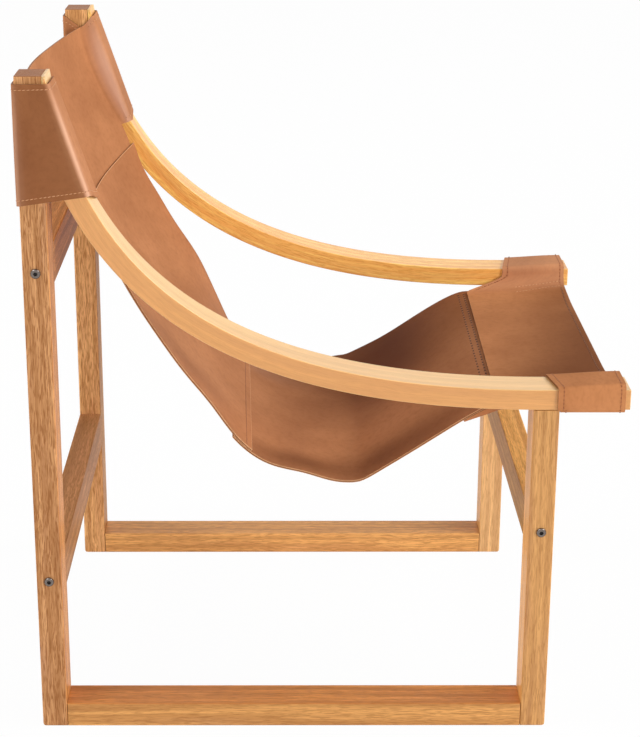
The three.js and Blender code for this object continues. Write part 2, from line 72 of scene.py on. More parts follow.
camera_data = bpy.data.cameras.new("photo_camera")
camera_data.sensor_width = SENSOR
camera_data.lens = SENSOR * FOCAL_LENGTH_IN_PIXELS / PICTURE_HEIGHT
camera_data.shift_x = (PICTURE_WIDTH / 2 - OPTICAL_AXIS_COLUMN) / PICTURE_HEIGHT
camera = bpy.data.objects.new("photo_camera", camera_data)
camera.location = CAMERA_PLACE
camera.rotation_euler = (math.pi / 2 - CAMERA_DROP, 0, CAMERA_TURN)
bpy.context.collection.objects.link(camera)
bpy.context.scene.camera = camera
print("camera: lens", round(camera_data.lens, 1), "mm, shift", round(camera_data.shift_x, 4))

# %% [markdown]
# ## Finishes
# Every finish is made of a few patterns, each with a real size on the real chair. Small functions carry all
# of them: one turns a colour written as on a screen into the linear values that Blender mixes, one adds a
# shader node with its settings and links, and the others name the steps that come back most often.

# %% Colour and node helpers
bpy.context.scene.view_settings.view_transform = "Standard"


def linear(colour):
    """A screen colour (sRGB) such as #C88A5A as linear red, green, blue and a full alpha."""
    channels = [int(colour[i:i + 2], 16) / 255 for i in (1, 3, 5)]
    return [*(c / 12.92 if c <= 0.04045 else ((c + 0.055) / 1.055) ** 2.4 for c in channels), 1.0]


def add_node(tree, kind, inputs=None, **settings):
    """Adds a shader node, sets its properties, and sets or links each input given by name or number."""
    made = tree.nodes.new("ShaderNode" + kind)
    for name, value in settings.items():
        setattr(made, name, value)
    for name, value in (inputs or {}).items():
        if isinstance(value, bpy.types.NodeSocket):
            tree.links.new(value, made.inputs[name])
        else:
            made.inputs[name].default_value = value
    return made


def new_material(name, **values):
    """A material's tree and its Principled shader, with the fixed values set on the shader itself."""
    material = bpy.data.materials.new(name)
    material.use_nodes = True
    shader = material.node_tree.nodes["Principled BSDF"]
    for socket, value in values.items():
        shader.inputs[socket.replace("_", " ")].default_value = value
    return material, material.node_tree, shader


MIX_FIRST_COLOUR = 6
MIX_SECOND_COLOUR = 7
MIX_COLOUR_RESULT = 2


def blend(tree, factor, first, second, kind="MIX"):
    """A colour that goes from the first to the second as the factor goes from 0 to 1."""
    first, second = (linear(end) if isinstance(end, str) else end for end in (first, second))
    inputs = {0: factor, MIX_FIRST_COLOUR: first, MIX_SECOND_COLOUR: second}
    return add_node(tree, "Mix", inputs, data_type="RGBA", blend_type=kind).outputs[MIX_COLOUR_RESULT]


def maths(tree, operation, *values, kind="Math"):
    """The result of one operation on numbers or vectors, each fixed or linked."""
    return add_node(tree, kind, dict(enumerate(values)), operation=operation).outputs[0]


def noise(tree, place, size, detail):
    """A noise from 0 to 1 whose patches have one size."""
    return add_node(tree, "TexNoise", {"Vector": place, "Scale": 1 / size, "Detail": detail}).outputs["Fac"]


def step(tree, value, low, high, top=1.0):
    """A value turned into a smooth step, from 0 at low to top at high."""
    inputs = {"Value": value, "From Min": low, "From Max": high, "To Max": top}
    return add_node(tree, "MapRange", inputs, interpolation_type="SMOOTHSTEP").outputs["Result"]


print("helpers ready, view transform", bpy.context.scene.view_settings.view_transform)

# %% [markdown]
# ## Studio
# The chair stands on a seamless white paper sweep, which is no more than a big white floor here. Large soft
# boxes stand round it nine metres away, low ones that light the sides and the fronts of the legs, and high
# ones that light the arm rests. The camera, and every shiny surface, sees the paper and the walls as plain
# white, while they light the chair only softly.

# %% Floor and walls
FLOOR_HALF = 9.0
PAPER_CLOUD = 2.0
PAPER_DETAIL = 2.0
PAPER_GLOW = 0.97
WALL_LIGHT = 0.02
WHITE = (1, 1, 1, 1)


def seen_directly(tree):
    """1 for what the camera sees directly or in a shiny or clear surface, and 0 for light that spreads."""
    path = add_node(tree, "LightPath").outputs
    seen = maths(tree, "MAXIMUM", path["Is Camera Ray"], path["Is Glossy Ray"])
    return maths(tree, "MAXIMUM", seen, path["Is Transmission Ray"])


def add_object(name, bm, *materials):
    """Turns a finished bmesh into an object of the scene with its finishes."""
    mesh = bpy.data.meshes.new(name)
    bm.to_mesh(mesh)
    bm.free()
    for material in materials:
        mesh.materials.append(material)
    made = bpy.data.objects.new(name, mesh)
    bpy.context.collection.objects.link(made)
    return made


# White paper: the camera sees it as white with a faint shadow of the chair.
paper, paper_tree, paper_shader = new_material("white_paper", Roughness=1.0, Specular_IOR_Level=0.0)
paper_place = add_node(paper_tree, "TexCoord").outputs["Object"]
paper_cloud = noise(paper_tree, paper_place, PAPER_CLOUD, PAPER_DETAIL)
paper_colour = blend(paper_tree, paper_cloud, "#E9E9E9", "#EEEEEE")
paper_tree.links.new(paper_colour, paper_shader.inputs["Base Color"])
glow = add_node(paper_tree, "Emission", {"Color": WHITE, "Strength": 1.0}).outputs[0]
share = maths(paper_tree, "MULTIPLY", seen_directly(paper_tree), PAPER_GLOW)
paper_mix = add_node(paper_tree, "MixShader", {0: share, 1: paper_shader.outputs[0], 2: glow})
paper_tree.links.new(paper_mix.outputs[0], paper_tree.nodes["Material Output"].inputs["Surface"])
bm = bmesh.new()
bmesh.ops.create_grid(bm, x_segments=1, y_segments=1, size=FLOOR_HALF)
floor = add_object("studio_floor", bm, paper)

world = bpy.data.worlds.new("white_studio")
world.use_nodes = True
walls = world.node_tree.nodes["Background"]
walls.inputs["Color"].default_value = WHITE
inputs = {"Value": seen_directly(world.node_tree), "To Min": WALL_LIGHT, "To Max": 1.0}
brightness = add_node(world.node_tree, "MapRange", inputs).outputs["Result"]
world.node_tree.links.new(brightness, walls.inputs["Strength"])
bpy.context.scene.world = world
print("studio: white floor and walls at", WALL_LIGHT)

# %% Lights
CHAIR_MIDDLE = (0, 0, 0.4)
SOFTBOXES = (("camera_softbox", (0.0, -8.95, 1.34), 305),
             ("front_corner_softbox", (6.83, -5.73, 1.65), 530),
             ("high_front_softbox", (6.69, 0.0, 6.42), 565),
             ("far_softbox", (0.0, 5.79, 7.29), 150),
             ("rear_softbox", (-8.86, 0.0, 1.96), 560),
             ("high_rear_softbox", (-5.44, -1.98, 7.29), 260))
SOFTBOX_SIZE = 4.4
GLOSS_HEIGHT = 3.0


def area_light(name, place, power):
    """A square soft light that faces the chair; a low one stays out of the gloss, which it would burn out."""
    data = bpy.data.lights.new(name, "AREA")
    data.size = SOFTBOX_SIZE
    data.energy = power
    light = bpy.data.objects.new(name, data)
    light.location = place
    light.rotation_euler = (Vector(CHAIR_MIDDLE) - Vector(place)).to_track_quat("-Z", "Y").to_euler()
    light.visible_glossy = place[2] > GLOSS_HEIGHT
    bpy.context.collection.objects.link(light)


for name, place, power in SOFTBOXES:
    area_light(name, place, power)
print("studio:", len(SOFTBOXES), "soft boxes")

# %% [markdown]
# ## Oiled oak
# Each wooden piece is sawn along the grain. Broad growth bands, patches with a pink flush, long fibres and
# short dark streaks of open pores all run along its length, so each pattern is a noise that is stretched
# along one axis, and a slow sway bends them together. The sawn end of a leg shows the fibres from the end,
# which drink more oil and turn brown. One pair of its four sides takes a painted shade, a tint that stands
# in for how the light falls on them.

# %% Wood finishes
# Each pattern: length along the grain and width across it, detail, and the noise levels where it fades in.
BANDS = ((0.60, 0.0085), 2.0, 0.36, 0.64)
FLUSHES = ((0.24, 0.022), 2.0, 0.45, 0.75)
FIBRES = ((0.10, 0.0015), 3.0, 0.42, 0.66)
STREAKS = ((0.016, 0.0010), 2.0, 0.46, 0.62)
FLUSH_SHARE = 0.5
STREAK_SHARE = 0.85
STREAK_DEPTH = 0.0003
STREAK_BUMP = 0.5
SWAY_SIZE = (0.11, 0.045)
SWAY_DETAIL = 1.0
SWAY = 0.012
MEAN_NOISE = (0.5, 0.5, 0.5)
WANDER = 0.35
OAK_ROUGHNESS = 0.36
PINK_FLUSH = "#CB8F68"
END_GRAIN = "#84502D"
END_GRAIN_SHARE = 0.85
FACE_LEVELS = (0.80, 0.95)
AXES = "XYZ"


def grain_noise(tree, place, along, size, seed, detail):
    """A noise whose patches have a length along the grain and a width across it."""
    scale = [1 / size[1]] * 3
    scale[along] = 1 / size[0]
    stretched = maths(tree, "MULTIPLY", place, scale, kind="VectorMath")
    inputs = {"Vector": stretched, "W": seed, "Scale": 1.0, "Detail": detail, "Distortion": WANDER}
    return add_node(tree, "TexNoise", inputs, noise_dimensions="4D").outputs


def faces_along(tree, axis):
    """1 on the faces that look along an axis of the piece, and 0 on the others."""
    normal = add_node(tree, "TexCoord").outputs["Normal"]
    part = add_node(tree, "SeparateXYZ", {0: normal}).outputs[axis]
    return step(tree, maths(tree, "ABSOLUTE", part), *FACE_LEVELS)


def oiled_oak(name, light, dark, streaked, axis, seed, figure, gloss, painted_shade_faces, shade):
    """Oiled oak with its grain along one axis, or along the first axis of a stored grain attribute."""
    material, tree, shader = new_material(name, Roughness=OAK_ROUGHNESS, Specular_IOR_Level=gloss)
    if axis == "bar":
        place = add_node(tree, "Attribute", attribute_name="grain").outputs["Vector"]
        along = 0
    else:
        place = add_node(tree, "TexCoord").outputs["Object"]
        along = AXES.index(axis)
    sway = grain_noise(tree, place, along, SWAY_SIZE, seed, SWAY_DETAIL)["Color"]
    sway = maths(tree, "SUBTRACT", sway, MEAN_NOISE, kind="VectorMath")
    amount = [SWAY * figure] * 3
    amount[along] = 0.0
    place = maths(tree, "MULTIPLY_ADD", sway, amount, place, kind="VectorMath")
    strengths = (1.0, FLUSH_SHARE * figure, figure, STREAK_SHARE * figure)
    patterns = []
    for (size, detail, low, high), strength in zip((BANDS, FLUSHES, FIBRES, STREAKS), strengths):
        pattern = grain_noise(tree, place, along, size, seed, detail)["Fac"]
        patterns.append(step(tree, pattern, low, high, strength))
    bands, flushes, fibres, streaks = patterns
    colour = blend(tree, bands, dark, light)
    colour = blend(tree, flushes, colour, PINK_FLUSH)
    colour = blend(tree, fibres, colour, dark)
    colour = blend(tree, streaks, colour, streaked)
    if axis != "bar":
        end_grain = maths(tree, "MULTIPLY", faces_along(tree, axis), END_GRAIN_SHARE)
        colour = blend(tree, end_grain, colour, END_GRAIN)
    # Painted shade: the chosen pair of sides is multiplied by a tint that stands in for how the light falls.
    colour = blend(tree, faces_along(tree, painted_shade_faces), colour, shade, "MULTIPLY")
    tree.links.new(colour, shader.inputs["Base Color"])
    inputs = {"Height": streaks, "Distance": STREAK_DEPTH, "Strength": STREAK_BUMP}
    bump = add_node(tree, "Bump", inputs, invert=True)
    tree.links.new(bump.outputs["Normal"], shader.inputs["Normal"])
    return material


# Honey-coloured oak: light, dark and streak colour, grain axis, pattern seed, figure, gloss, and the pair of
# sides that takes a painted shade, with its tint. Every piece comes from its own board, a shade browner and
# more figured on the rear legs and paler on the arms. The tints stand in for how the light falls on the
# sides, and the far (left) boards are painted paler than the near ones to make up for the shade they sit in.
BOARDS = {
    "rear_leg_left": ("#F2BA7E", "#C7905B", "#9F6537", "Z", 3.1, 0.9, 0.03, "X", "#E7DFCB"),
    "rear_leg_right": ("#F4B06B", "#C7874C", "#9F5F2E", "Z", 4.6, 0.9, 0.03, "Y", "#DBE2FE"),
    "front_leg_left": ("#F4C286", "#D1A16E", "#B18250", "Z", 7.4, 0.6, 0.08, "X", "#F7E7C4"),
    "front_leg_right": ("#F8B764", "#D49751", "#B5793B", "Z", 8.3, 0.6, 0.08, "Y", "#DADEFF"),
    "bottom_rail_left": ("#F1B56D", "#C88E54", "#A36E3C", "X", 1.8, 0.7, 0.12, "Y", "#FFFFFF"),
    "bottom_rail_right": ("#FAAE60", "#D0894A", "#AA6A35", "X", 2.7, 0.6, 0.12, "Y", "#E0EEFF"),
    "arm_left": ("#FFD57E", "#F0AF60", "#D2893B", "bar", 9.6, 0.75, 0.6, "Y", "#FFFFEF"),
    "arm_right": ("#EFBF7C", "#E0B271", "#CC9D60", "bar", 6.5, 0.4, 0.8, "Y", "#EAD1BD"),
    "upper_back_rail": ("#E7A45D", "#C08448", "#A36C36", "Y", 5.2, 0.6, 0.01, "Z", "#FFFFFF"),
    "lower_back_rail": ("#D79F6D", "#B38053", "#976841", "Y", 5.9, 0.7, 0.01, "Z", "#FFFFFF"),
    "front_rail": ("#FFCB7A", "#D8A35E", "#B6854A", "Y", 0.8, 0.6, 0.01, "X", "#CEC5BF"),
}
oak = {piece: oiled_oak("oiled_oak_" + piece, *board) for piece, board in BOARDS.items()}
print("wood:", len(oak), "boards of oiled oak")

# %% Dress the straight wooden pieces
def dress(node, material):
    """Gives a CAD node one finish."""
    nodes[node].data.materials.clear()
    nodes[node].data.materials.append(material)


for piece, material in oak.items():
    dress(piece, material)
print("wood:", len(oak), "CAD pieces dressed")

# %% [markdown]
# ## Hardware
# The barrel nuts and the dowels sit inside the wood. Zinc plating leaves a soft cloudy sheen on the nuts,
# and the beech dowels are dry and pale with a fine fleck.

# %% Nuts and dowels
FLECK_SIZE = 0.004
CLOUD_SIZE = 0.006
SPECKLE_DETAIL = 3.0
SPECKLE_LEVELS = (0.35, 0.65)


def speckled(name, first, second, size, **values):
    """A finish whose colour drifts between two near shades in patches of one size."""
    material, tree, shader = new_material(name, **values)
    place = add_node(tree, "TexCoord").outputs["Object"]
    patches = step(tree, noise(tree, place, size, SPECKLE_DETAIL), *SPECKLE_LEVELS)
    tree.links.new(blend(tree, patches, first, second), shader.inputs["Base Color"])
    return material


# Zinc: bright metal with faint grey clouds from the plating bath.
zinc = speckled("zinc_plated_steel", "#B4B8BD", "#C9CCD0", CLOUD_SIZE, Metallic=1.0, Roughness=0.35)
# Beech: dry pale wood with small darker flecks.
beech = speckled("planed_beech", "#D9BC94", "#E4CCA8", FLECK_SIZE, Roughness=0.75)
for name in nodes:
    if name.startswith("barrel_nut"):
        dress(name, zinc)
    if "dowel" in name:
        dress(name, beech)
print("hardware: nuts and dowels dressed")

# %% [markdown]
# ## Bolts
# A button head bolt draws each rail against its leg. The round head is turned on a lathe and a hexagonal
# key socket is pressed into it. Here the bolt grows from the floor of the socket: a capped ring is extruded
# again and again, hexagonal inside the socket and round outside it, down to the end of the shank.

# %% Button head bolts
BOLT_SEGMENTS = 48
SHANK_RADIUS = 0.003
SHANK_POINT = 0.0006
HEAD_RADIUS = 0.0062
HEAD_HEIGHT = 0.0034
HEAD_RIM = 0.0008
HEAD_FLAT = 0.0031
EDGE_BREAK = 0.0002
SOCKET_HALF = 0.0023
SOCKET_DEPTH = 0.0026
SOCKET_MOUTH = 0.00015
DOME_STEPS = 8
BOLT_SHARP_ANGLE = math.radians(35)
SCRATCH_SIZE = 0.0008


def chair_piece(name, bm, *materials):
    """Turns a finished bmesh into a smooth-shaded piece of the chair with its finishes."""
    for face in bm.faces:
        face.smooth = True
    piece = add_object(name, bm, *materials)
    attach(piece, "root")
    return piece


def bolt_rings(length):
    """Radius, height and whether the ring is a hexagon, from the socket's mouth to the end of the shank."""
    rings = [(SOCKET_HALF, HEAD_HEIGHT - EDGE_BREAK, True), (SOCKET_HALF + EDGE_BREAK, HEAD_HEIGHT, True)]
    for i in range(DOME_STEPS + 1):
        angle = math.pi / 2 * i / DOME_STEPS
        rings.append((HEAD_FLAT + (HEAD_RADIUS - HEAD_FLAT) * math.sin(angle),
                      HEAD_RIM + (HEAD_HEIGHT - HEAD_RIM) * math.cos(angle), False))
    rings += [(HEAD_RADIUS, EDGE_BREAK, False), (HEAD_RADIUS - EDGE_BREAK, 0.0, False),
              (SHANK_RADIUS, 0.0, False), (SHANK_RADIUS, HEAD_HEIGHT + SHANK_POINT - length, False),
              (SHANK_RADIUS - SHANK_POINT, HEAD_HEIGHT - length, False)]
    return rings


def place_ring(verts, radius, height, hexagon):
    """Moves a ring of vertices to a radius and a height; a hexagon is measured across its flats."""
    for vert in verts:
        angle = math.atan2(vert.co.y, vert.co.x)
        side = (angle + math.pi) % (math.pi / 3) - math.pi / 6
        reach = radius / math.cos(side) if hexagon else radius
        vert.co = (reach * math.cos(angle), reach * math.sin(angle), height)


def bolt_piece(node):
    """One bolt in place of a CAD node, with its head on the outer side of the leg."""
    low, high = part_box(node)
    sign = 1 if low.y > 0 else -1
    bm = bmesh.new()
    bmesh.ops.create_circle(bm, segments=BOLT_SEGMENTS, radius=SOCKET_HALF, cap_ends=True)
    ring_edges, ring_verts = bm.edges[:], bm.verts[:]
    place_ring(ring_verts, SOCKET_HALF, HEAD_HEIGHT - SOCKET_DEPTH, True)
    for radius, height, hexagon in bolt_rings(high.y - low.y):
        grown = bmesh.ops.extrude_edge_only(bm, edges=ring_edges)["geom"]
        ring_edges = [item for item in grown if isinstance(item, bmesh.types.BMEdge) and item.is_boundary]
        ring_verts = [item for item in grown if isinstance(item, bmesh.types.BMVert)]
        place_ring(ring_verts, radius, height, hexagon)
    bmesh.ops.contextual_create(bm, geom=ring_edges)
    for face in bm.faces:
        middle = face.calc_center_median()
        # Faces inside the key socket take the painted shade.
        in_socket = middle.xy.length < HEAD_FLAT - EDGE_BREAK and 0 < middle.z < HEAD_HEIGHT - SOCKET_MOUTH
        face.material_index = int(in_socket)
    bmesh.ops.rotate(bm, cent=(0, 0, 0), matrix=Matrix.Rotation(-sign * math.pi / 2, 3, "X"), verts=bm.verts)
    seat = sign * (max(abs(low.y), abs(high.y)) - HEAD_HEIGHT)
    bmesh.ops.translate(bm, vec=((low.x + high.x) / 2, seat, (low.z + high.z) / 2), verts=bm.verts)
    bmesh.ops.recalc_face_normals(bm, faces=bm.faces)
    piece = chair_piece("button_" + node, bm, nickel, painted_socket_shade)
    piece.data.set_sharp_from_angle(angle=BOLT_SHARP_ANGLE)
    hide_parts(node)
    return piece


# Dark nickel plate: smooth and shiny, with faint handling marks.
nickel = speckled("nickel_plated_steel", "#6E6560", "#857B74", SCRATCH_SIZE, Metallic=1.0, Roughness=0.16)
# Key socket: painted dull and nearly black, a painted shade for the inside of the recess.
painted_socket_shade = speckled("painted_shade_key_socket", "#140F0C", "#221A15", SCRATCH_SIZE, Roughness=0.6)
bolts = [bolt_piece(node) for node in nodes if node.startswith("bolt")]
print("hardware:", len(bolts), "bolts of", len(bolts[0].data.polygons), "faces")

# %% [markdown]
# ## Swept arms
# Each arm is a straight bar of oak that is steamed and bent: down from the top of the rear leg, then round
# into a level arm rest. Modelled the same way, the grain follows the bend by itself: a straight bar stores
# where each point was, and is then bent along the edge line of the arm.

# %% Measure the frame
rear_low, rear_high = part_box("rear_leg_left")
front_low, front_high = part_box("front_leg_left")
arm_low, arm_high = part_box("arm_left")
INNER = rear_low.y
OUTER = rear_high.y
TOP = rear_high.z
SIDE_MIDDLE = (INNER + OUTER) / 2
ARM_THICKNESS = 0.026
ARM_TOP = 0.465
ARM_END = arm_high.x
ARM_TIP = 0.0042
ARM_LEAN = math.radians(9)
ARM_HANDLE = 0.310
POST_FRONT = arm_low.x
JOINT_X = (front_low.x + front_high.x) / 2
CURVE_STEPS = 240
HALVINGS = 40


def measure(places):
    """Lengths along a row of places, from the first one to each of them."""
    lengths = [0.0]
    for first, second in zip(places, places[1:]):
        lengths.append(lengths[-1] + (second - first).length)
    return lengths


class Line:
    """A row of points in the X-Z plane that can be read at any length from its start."""

    def __init__(self, points):
        self.points = points
        self.marks = measure(points)
        self.length = self.marks[-1]

    def at(self, length, depth=0.0):
        """The point at a length, moved sideways by a depth: down, or to the rear where the line climbs."""
        i = min(max(bisect.bisect_right(self.marks, length) - 1, 0), len(self.points) - 2)
        direction = (self.points[i + 1] - self.points[i]).normalized()
        return self.points[i] + direction * (length - self.marks[i]) + below(direction) * depth

    def length_at_height(self, height, depth=0.0):
        """The length at which a falling line passes a height."""
        low, high = 0.0, self.length
        for _ in range(HALVINGS):
            middle = (low + high) / 2
            if self.at(middle, depth).z > height:
                low = middle
            else:
                high = middle
        return low


def below(direction):
    """The direction square to a line in the X-Z plane, on its lower or rear side."""
    return Vector((direction.z, 0, -direction.x))


arm_start = Vector((POST_FRONT + ARM_TIP, 0, TOP))
arm_fall = Vector((math.sin(ARM_LEAN), 0, -math.cos(ARM_LEAN)))
arm_joint = Vector((JOINT_X, 0, ARM_TOP))
arm_bend = interpolate_bezier(arm_start, arm_start + arm_fall * ARM_HANDLE,
                              arm_joint - Vector((ARM_HANDLE, 0, 0)), arm_joint, CURVE_STEPS)
arm_edge = Line([*arm_bend, Vector((ARM_END, 0, ARM_TOP))])
print("arm: edge line", round(arm_edge.length, 4), "m long")

# %% Bend a straight bar
BAR_ROUND = 0.0013
BAR_ROUND_STEPS = 3
BAR_OVERRUN = 0.03
BAR_STEPS = 110
FLAT_PROFILE = 0.5
NO_NEW_MATERIAL = -1


def cut_bar(bm, place, way, **settings):
    """Cuts a mesh along a plane and returns what lies on the cut."""
    geometry = bm.verts[:] + bm.edges[:] + bm.faces[:]
    return bmesh.ops.bisect_plane(bm, geom=geometry, plane_co=place, plane_no=way, **settings)["geom_cut"]


def bent_arm(side, sign):
    """One arm: a straight rounded bar, bent along the edge line and trimmed to the rear leg."""
    bm = bmesh.new()
    bmesh.ops.create_cube(bm, size=1.0)
    length = arm_edge.length + BAR_OVERRUN
    bmesh.ops.scale(bm, vec=(length, OUTER - INNER, ARM_THICKNESS), verts=bm.verts)
    bmesh.ops.translate(bm, vec=(length / 2 - BAR_OVERRUN, 0, -ARM_THICKNESS / 2), verts=bm.verts)
    bmesh.ops.bevel(bm, geom=bm.edges[:], offset=BAR_ROUND, segments=BAR_ROUND_STEPS, profile=FLAT_PROFILE,
                    affect="EDGES", material=NO_NEW_MATERIAL)
    for i in range(1, BAR_STEPS):
        cut_bar(bm, (length * i / BAR_STEPS - BAR_OVERRUN, 0, 0), (1, 0, 0))
    grain = bm.verts.layers.float_vector.new("grain")
    for vert in bm.verts:
        vert[grain] = vert.co
        bent = arm_edge.at(vert.co.x, -vert.co.z)
        vert.co = (bent.x, vert.co.y + sign * SIDE_MIDDLE, bent.z)
    for place, away in (((0, 0, TOP), (0, 0, 1)), ((POST_FRONT, 0, 0), (-1, 0, 0))):
        cut = cut_bar(bm, place, away, clear_outer=True)
        bmesh.ops.edgenet_fill(bm, edges=[item for item in cut if isinstance(item, bmesh.types.BMEdge)])
    bmesh.ops.recalc_face_normals(bm, faces=bm.faces)
    piece = chair_piece("arm_bar_" + side, bm, oak["arm_" + side])
    piece.modifiers.new("even_shading", "WEIGHTED_NORMAL")
    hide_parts("arm_" + side)
    return piece


for side, sign in (("left", 1), ("right", -1)):
    arm_bar = bent_arm(side, sign)
    print("arm:", arm_bar.name, len(arm_bar.data.polygons), "faces")

# %% [markdown]
# ## Saddle leather
# Vegetable-tanned leather three millimetres thick. Its grain side is satin and clouded where oil and dye
# went in unevenly, with a fine pebble; its flesh side is matt and a little paler; and where a knife cut
# it, the edge is burnished dark and its corners carry a painted highlight, a thin pale line. Leather that is
# gripped drinks oil and darkens, so each sheet stores how much it was handled; the same store also holds
# painted shade in creases, on the seat and on the front panel, and a painted highlight along the folds
# round the posts. The pebble is drawn about twice as coarse as real so that it shows.

# %% Leather finishes
# Each pattern: size, detail, the noise levels where it fades in, and its strength.
CLOUDS = (0.16, 3.0, 0.30, 0.70, 1.0)
MOTTLE = (0.022, 4.0, 0.45, 0.80, 0.45)
FLECKS = (0.008, 4.0, 0.40, 0.75, 0.12)
PEBBLE = 0.0021
NAP = 0.0016
BUMP_STRENGTH = 0.35
# Pale colour of the painted highlights where the leather is pulled round the posts.
PAINTED_HIGHLIGHT = "#E0B59B"


def leather(name, light, dark, wear_and_shade_colour, roughness, gloss, bump_size, bump_depth):
    """Tanned leather, patterned in the sheet's own flat measure so that it bends with the sheet."""
    material, tree, shader = new_material(name, Roughness=roughness, Specular_IOR_Level=gloss)
    flat = add_node(tree, "UVMap", uv_map="flat").outputs["UV"]
    clouds, mottle, flecks = (step(tree, noise(tree, flat, size, detail), *levels)
                              for size, detail, *levels in (CLOUDS, MOTTLE, FLECKS))
    handling = add_node(tree, "UVMap", uv_map="handling").outputs["UV"]
    marks = add_node(tree, "SeparateXYZ", {0: handling}).outputs
    colour = blend(tree, clouds, dark, light)
    colour = blend(tree, mottle, colour, dark)
    # The first mark darkens, partly for handling and partly as painted shade; the second lays a painted
    # highlight.
    colour = blend(tree, flecks, colour, wear_and_shade_colour)
    colour = blend(tree, marks["X"], colour, wear_and_shade_colour)
    colour = blend(tree, marks["Y"], colour, PAINTED_HIGHLIGHT)
    tree.links.new(colour, shader.inputs["Base Color"])
    pebble = add_node(tree, "TexVoronoi", {"Vector": flat, "Scale": 1 / bump_size}).outputs["Distance"]
    inputs = {"Height": pebble, "Distance": bump_depth, "Strength": BUMP_STRENGTH}
    bump = add_node(tree, "Bump", inputs, invert=True)
    tree.links.new(bump.outputs["Normal"], shader.inputs["Normal"])
    return material


# Grain side: warm tan, satin.
tan_grain = leather("saddle_leather_grain", "#C3855A", "#AB714B", "#572A11", 0.5, 0.012, PEBBLE, 0.00025)
# Front panel's grain side: the same hide, a shade redder where hands and knees have oiled it.
knee_grain = leather("saddle_leather_front", "#C08154", "#A96E46", "#572A11", 0.5, 0.012, PEBBLE, 0.00025)
# Flesh side: matt, paler and napped.
tan_flesh = leather("saddle_leather_flesh", "#BE8A63", "#A87350", "#8E5B3A", 0.85, 0.05, NAP, 0.0004)
# Cut edge: burnished brown.
cut_edge = leather("saddle_leather_cut_edge", "#9A6A46", "#835435", "#6E4426", 0.6, 0.1, NAP, 0.0002)
# Corners of the cut edge: a painted highlight, pale.
painted_corner_highlight = leather("saddle_leather_corner", "#DDAE86", "#CB966C", "#B98A62", 0.6, 0.1, NAP, 0.0001)
# The corner finish printed here is a painted highlight on the cut edge's corners.
print("leather: grain side, flesh side, cut edge and rubbed corner")

# %% [markdown]
# ## How the leather hangs
# Seen from the side the leather is one line: down the middle of the arms, free into the low seat, up to the
# front and level to its front edge. Every panel is a stretch of this line. Across the chair the back bellies
# to the rear, a little more and a little to one side at its top, and the free edges wave, as thick leather
# does where it was cut and handled.

# %% The sling line
LEATHER = 0.003
GAP = 0.0006
REACH = LEATHER + GAP
PANEL_TOP = TOP - 0.023
SLEEVE_TOP = TOP - 0.009
SLEEVE_FRONT_END = TOP - 0.144
SLEEVE_REAR_END = TOP - 0.155
BACK_X = rear_low.x
HALF_WIDTH = INNER - REACH
FRONT_RISE_X = 0.0352
SEAT_LOW = Vector((FRONT_RISE_X, 0, 0.331))
HANG_HANDLE = 0.372
LOW_REAR_HANDLE = 0.140
LOW_FRONT_HANDLE = 0.028
SEAM_HANDLE = 0.040
PLATE_LIFT = 0.0047
FRONT_EDGE = Vector((ARM_END - 0.007, 0, ARM_TOP - ARM_THICKNESS + PLATE_LIFT))
FRONT_PANEL = 0.149
FRONT_FALL = 0.009
UPPER_SEAM = 0.184
LOWER_SEAM = 0.523
LAP = 0.030
BACK_SAG = 0.036
BACK_STEPS = 60

half_arm = ARM_THICKNESS / 2
panel_start = arm_edge.length_at_height(PANEL_TOP, half_arm)
SLEEVE_LENGTH = arm_edge.length_at_height(SLEEVE_FRONT_END) - panel_start
back_run = [arm_edge.at(panel_start + SLEEVE_LENGTH * i / BACK_STEPS, half_arm)
            for i in range(BACK_STEPS + 1)]
hang_way = (back_run[-1] - back_run[-2]).normalized()
hang = interpolate_bezier(back_run[-1], back_run[-1] + hang_way * HANG_HANDLE,
                          SEAT_LOW - Vector((LOW_REAR_HANDLE, 0, 0)), SEAT_LOW, CURVE_STEPS)
front_seam = FRONT_EDGE - Vector((FRONT_PANEL, 0, FRONT_FALL))
front_way = (FRONT_EDGE - front_seam).normalized()
rise = interpolate_bezier(SEAT_LOW, SEAT_LOW + Vector((LOW_FRONT_HANDLE, 0, 0)),
                          front_seam - front_way * SEAM_HANDLE, front_seam, CURVE_STEPS)
sling = Line([*back_run, *hang[1:], *rise[1:], FRONT_EDGE])
FRONT_SEAM = sling.length - (FRONT_EDGE - front_seam).length
print("sling:", round(sling.length, 4), "m long, front seam at", round(FRONT_SEAM, 4))

# %% Belly and waves
NEAR_WAVES = ((0.270, 0.085, -0.0065), (0.450, 0.050, 0.0055), (0.600, 0.035, 0.0045),
              (0.655, 0.035, -0.0045), (0.800, 0.110, -0.0035))
FAR_WAVES = ((0.020, 0.070, -0.0045), (0.155, 0.040, 0.0065), (0.230, 0.030, -0.0020),
             (0.375, 0.050, 0.0050), (0.540, 0.075, -0.0250), (0.680, 0.045, 0.0050))
TOP_BELLY = 0.11
TOP_SKEW = 0.30
STILL_MIDDLE = 0.25
LOW_LENGTH = 0.655


def clamp(value):
    """A value held between 0 and 1."""
    return min(max(value, 0.0), 1.0)


def smooth(value, low, high):
    """A smooth step from 0 at low to 1 at high."""
    share = clamp((value - low) / (high - low))
    return share * share * (3 - 2 * share)


def hump(value, middle, reach):
    """1 at the middle, and next to nothing two reaches away from it."""
    return math.exp(-((value - middle) / reach) ** 2)


def wave(length, across):
    """How far a free edge lifts towards the sitter; the middle of the sheet stays where it hangs."""
    waves = FAR_WAVES if across > 0 else NEAR_WAVES
    lift = sum(height * hump(length, place, reach) for place, reach, height in waves)
    return lift * smooth(abs(across), STILL_MIDDLE, 1.0)


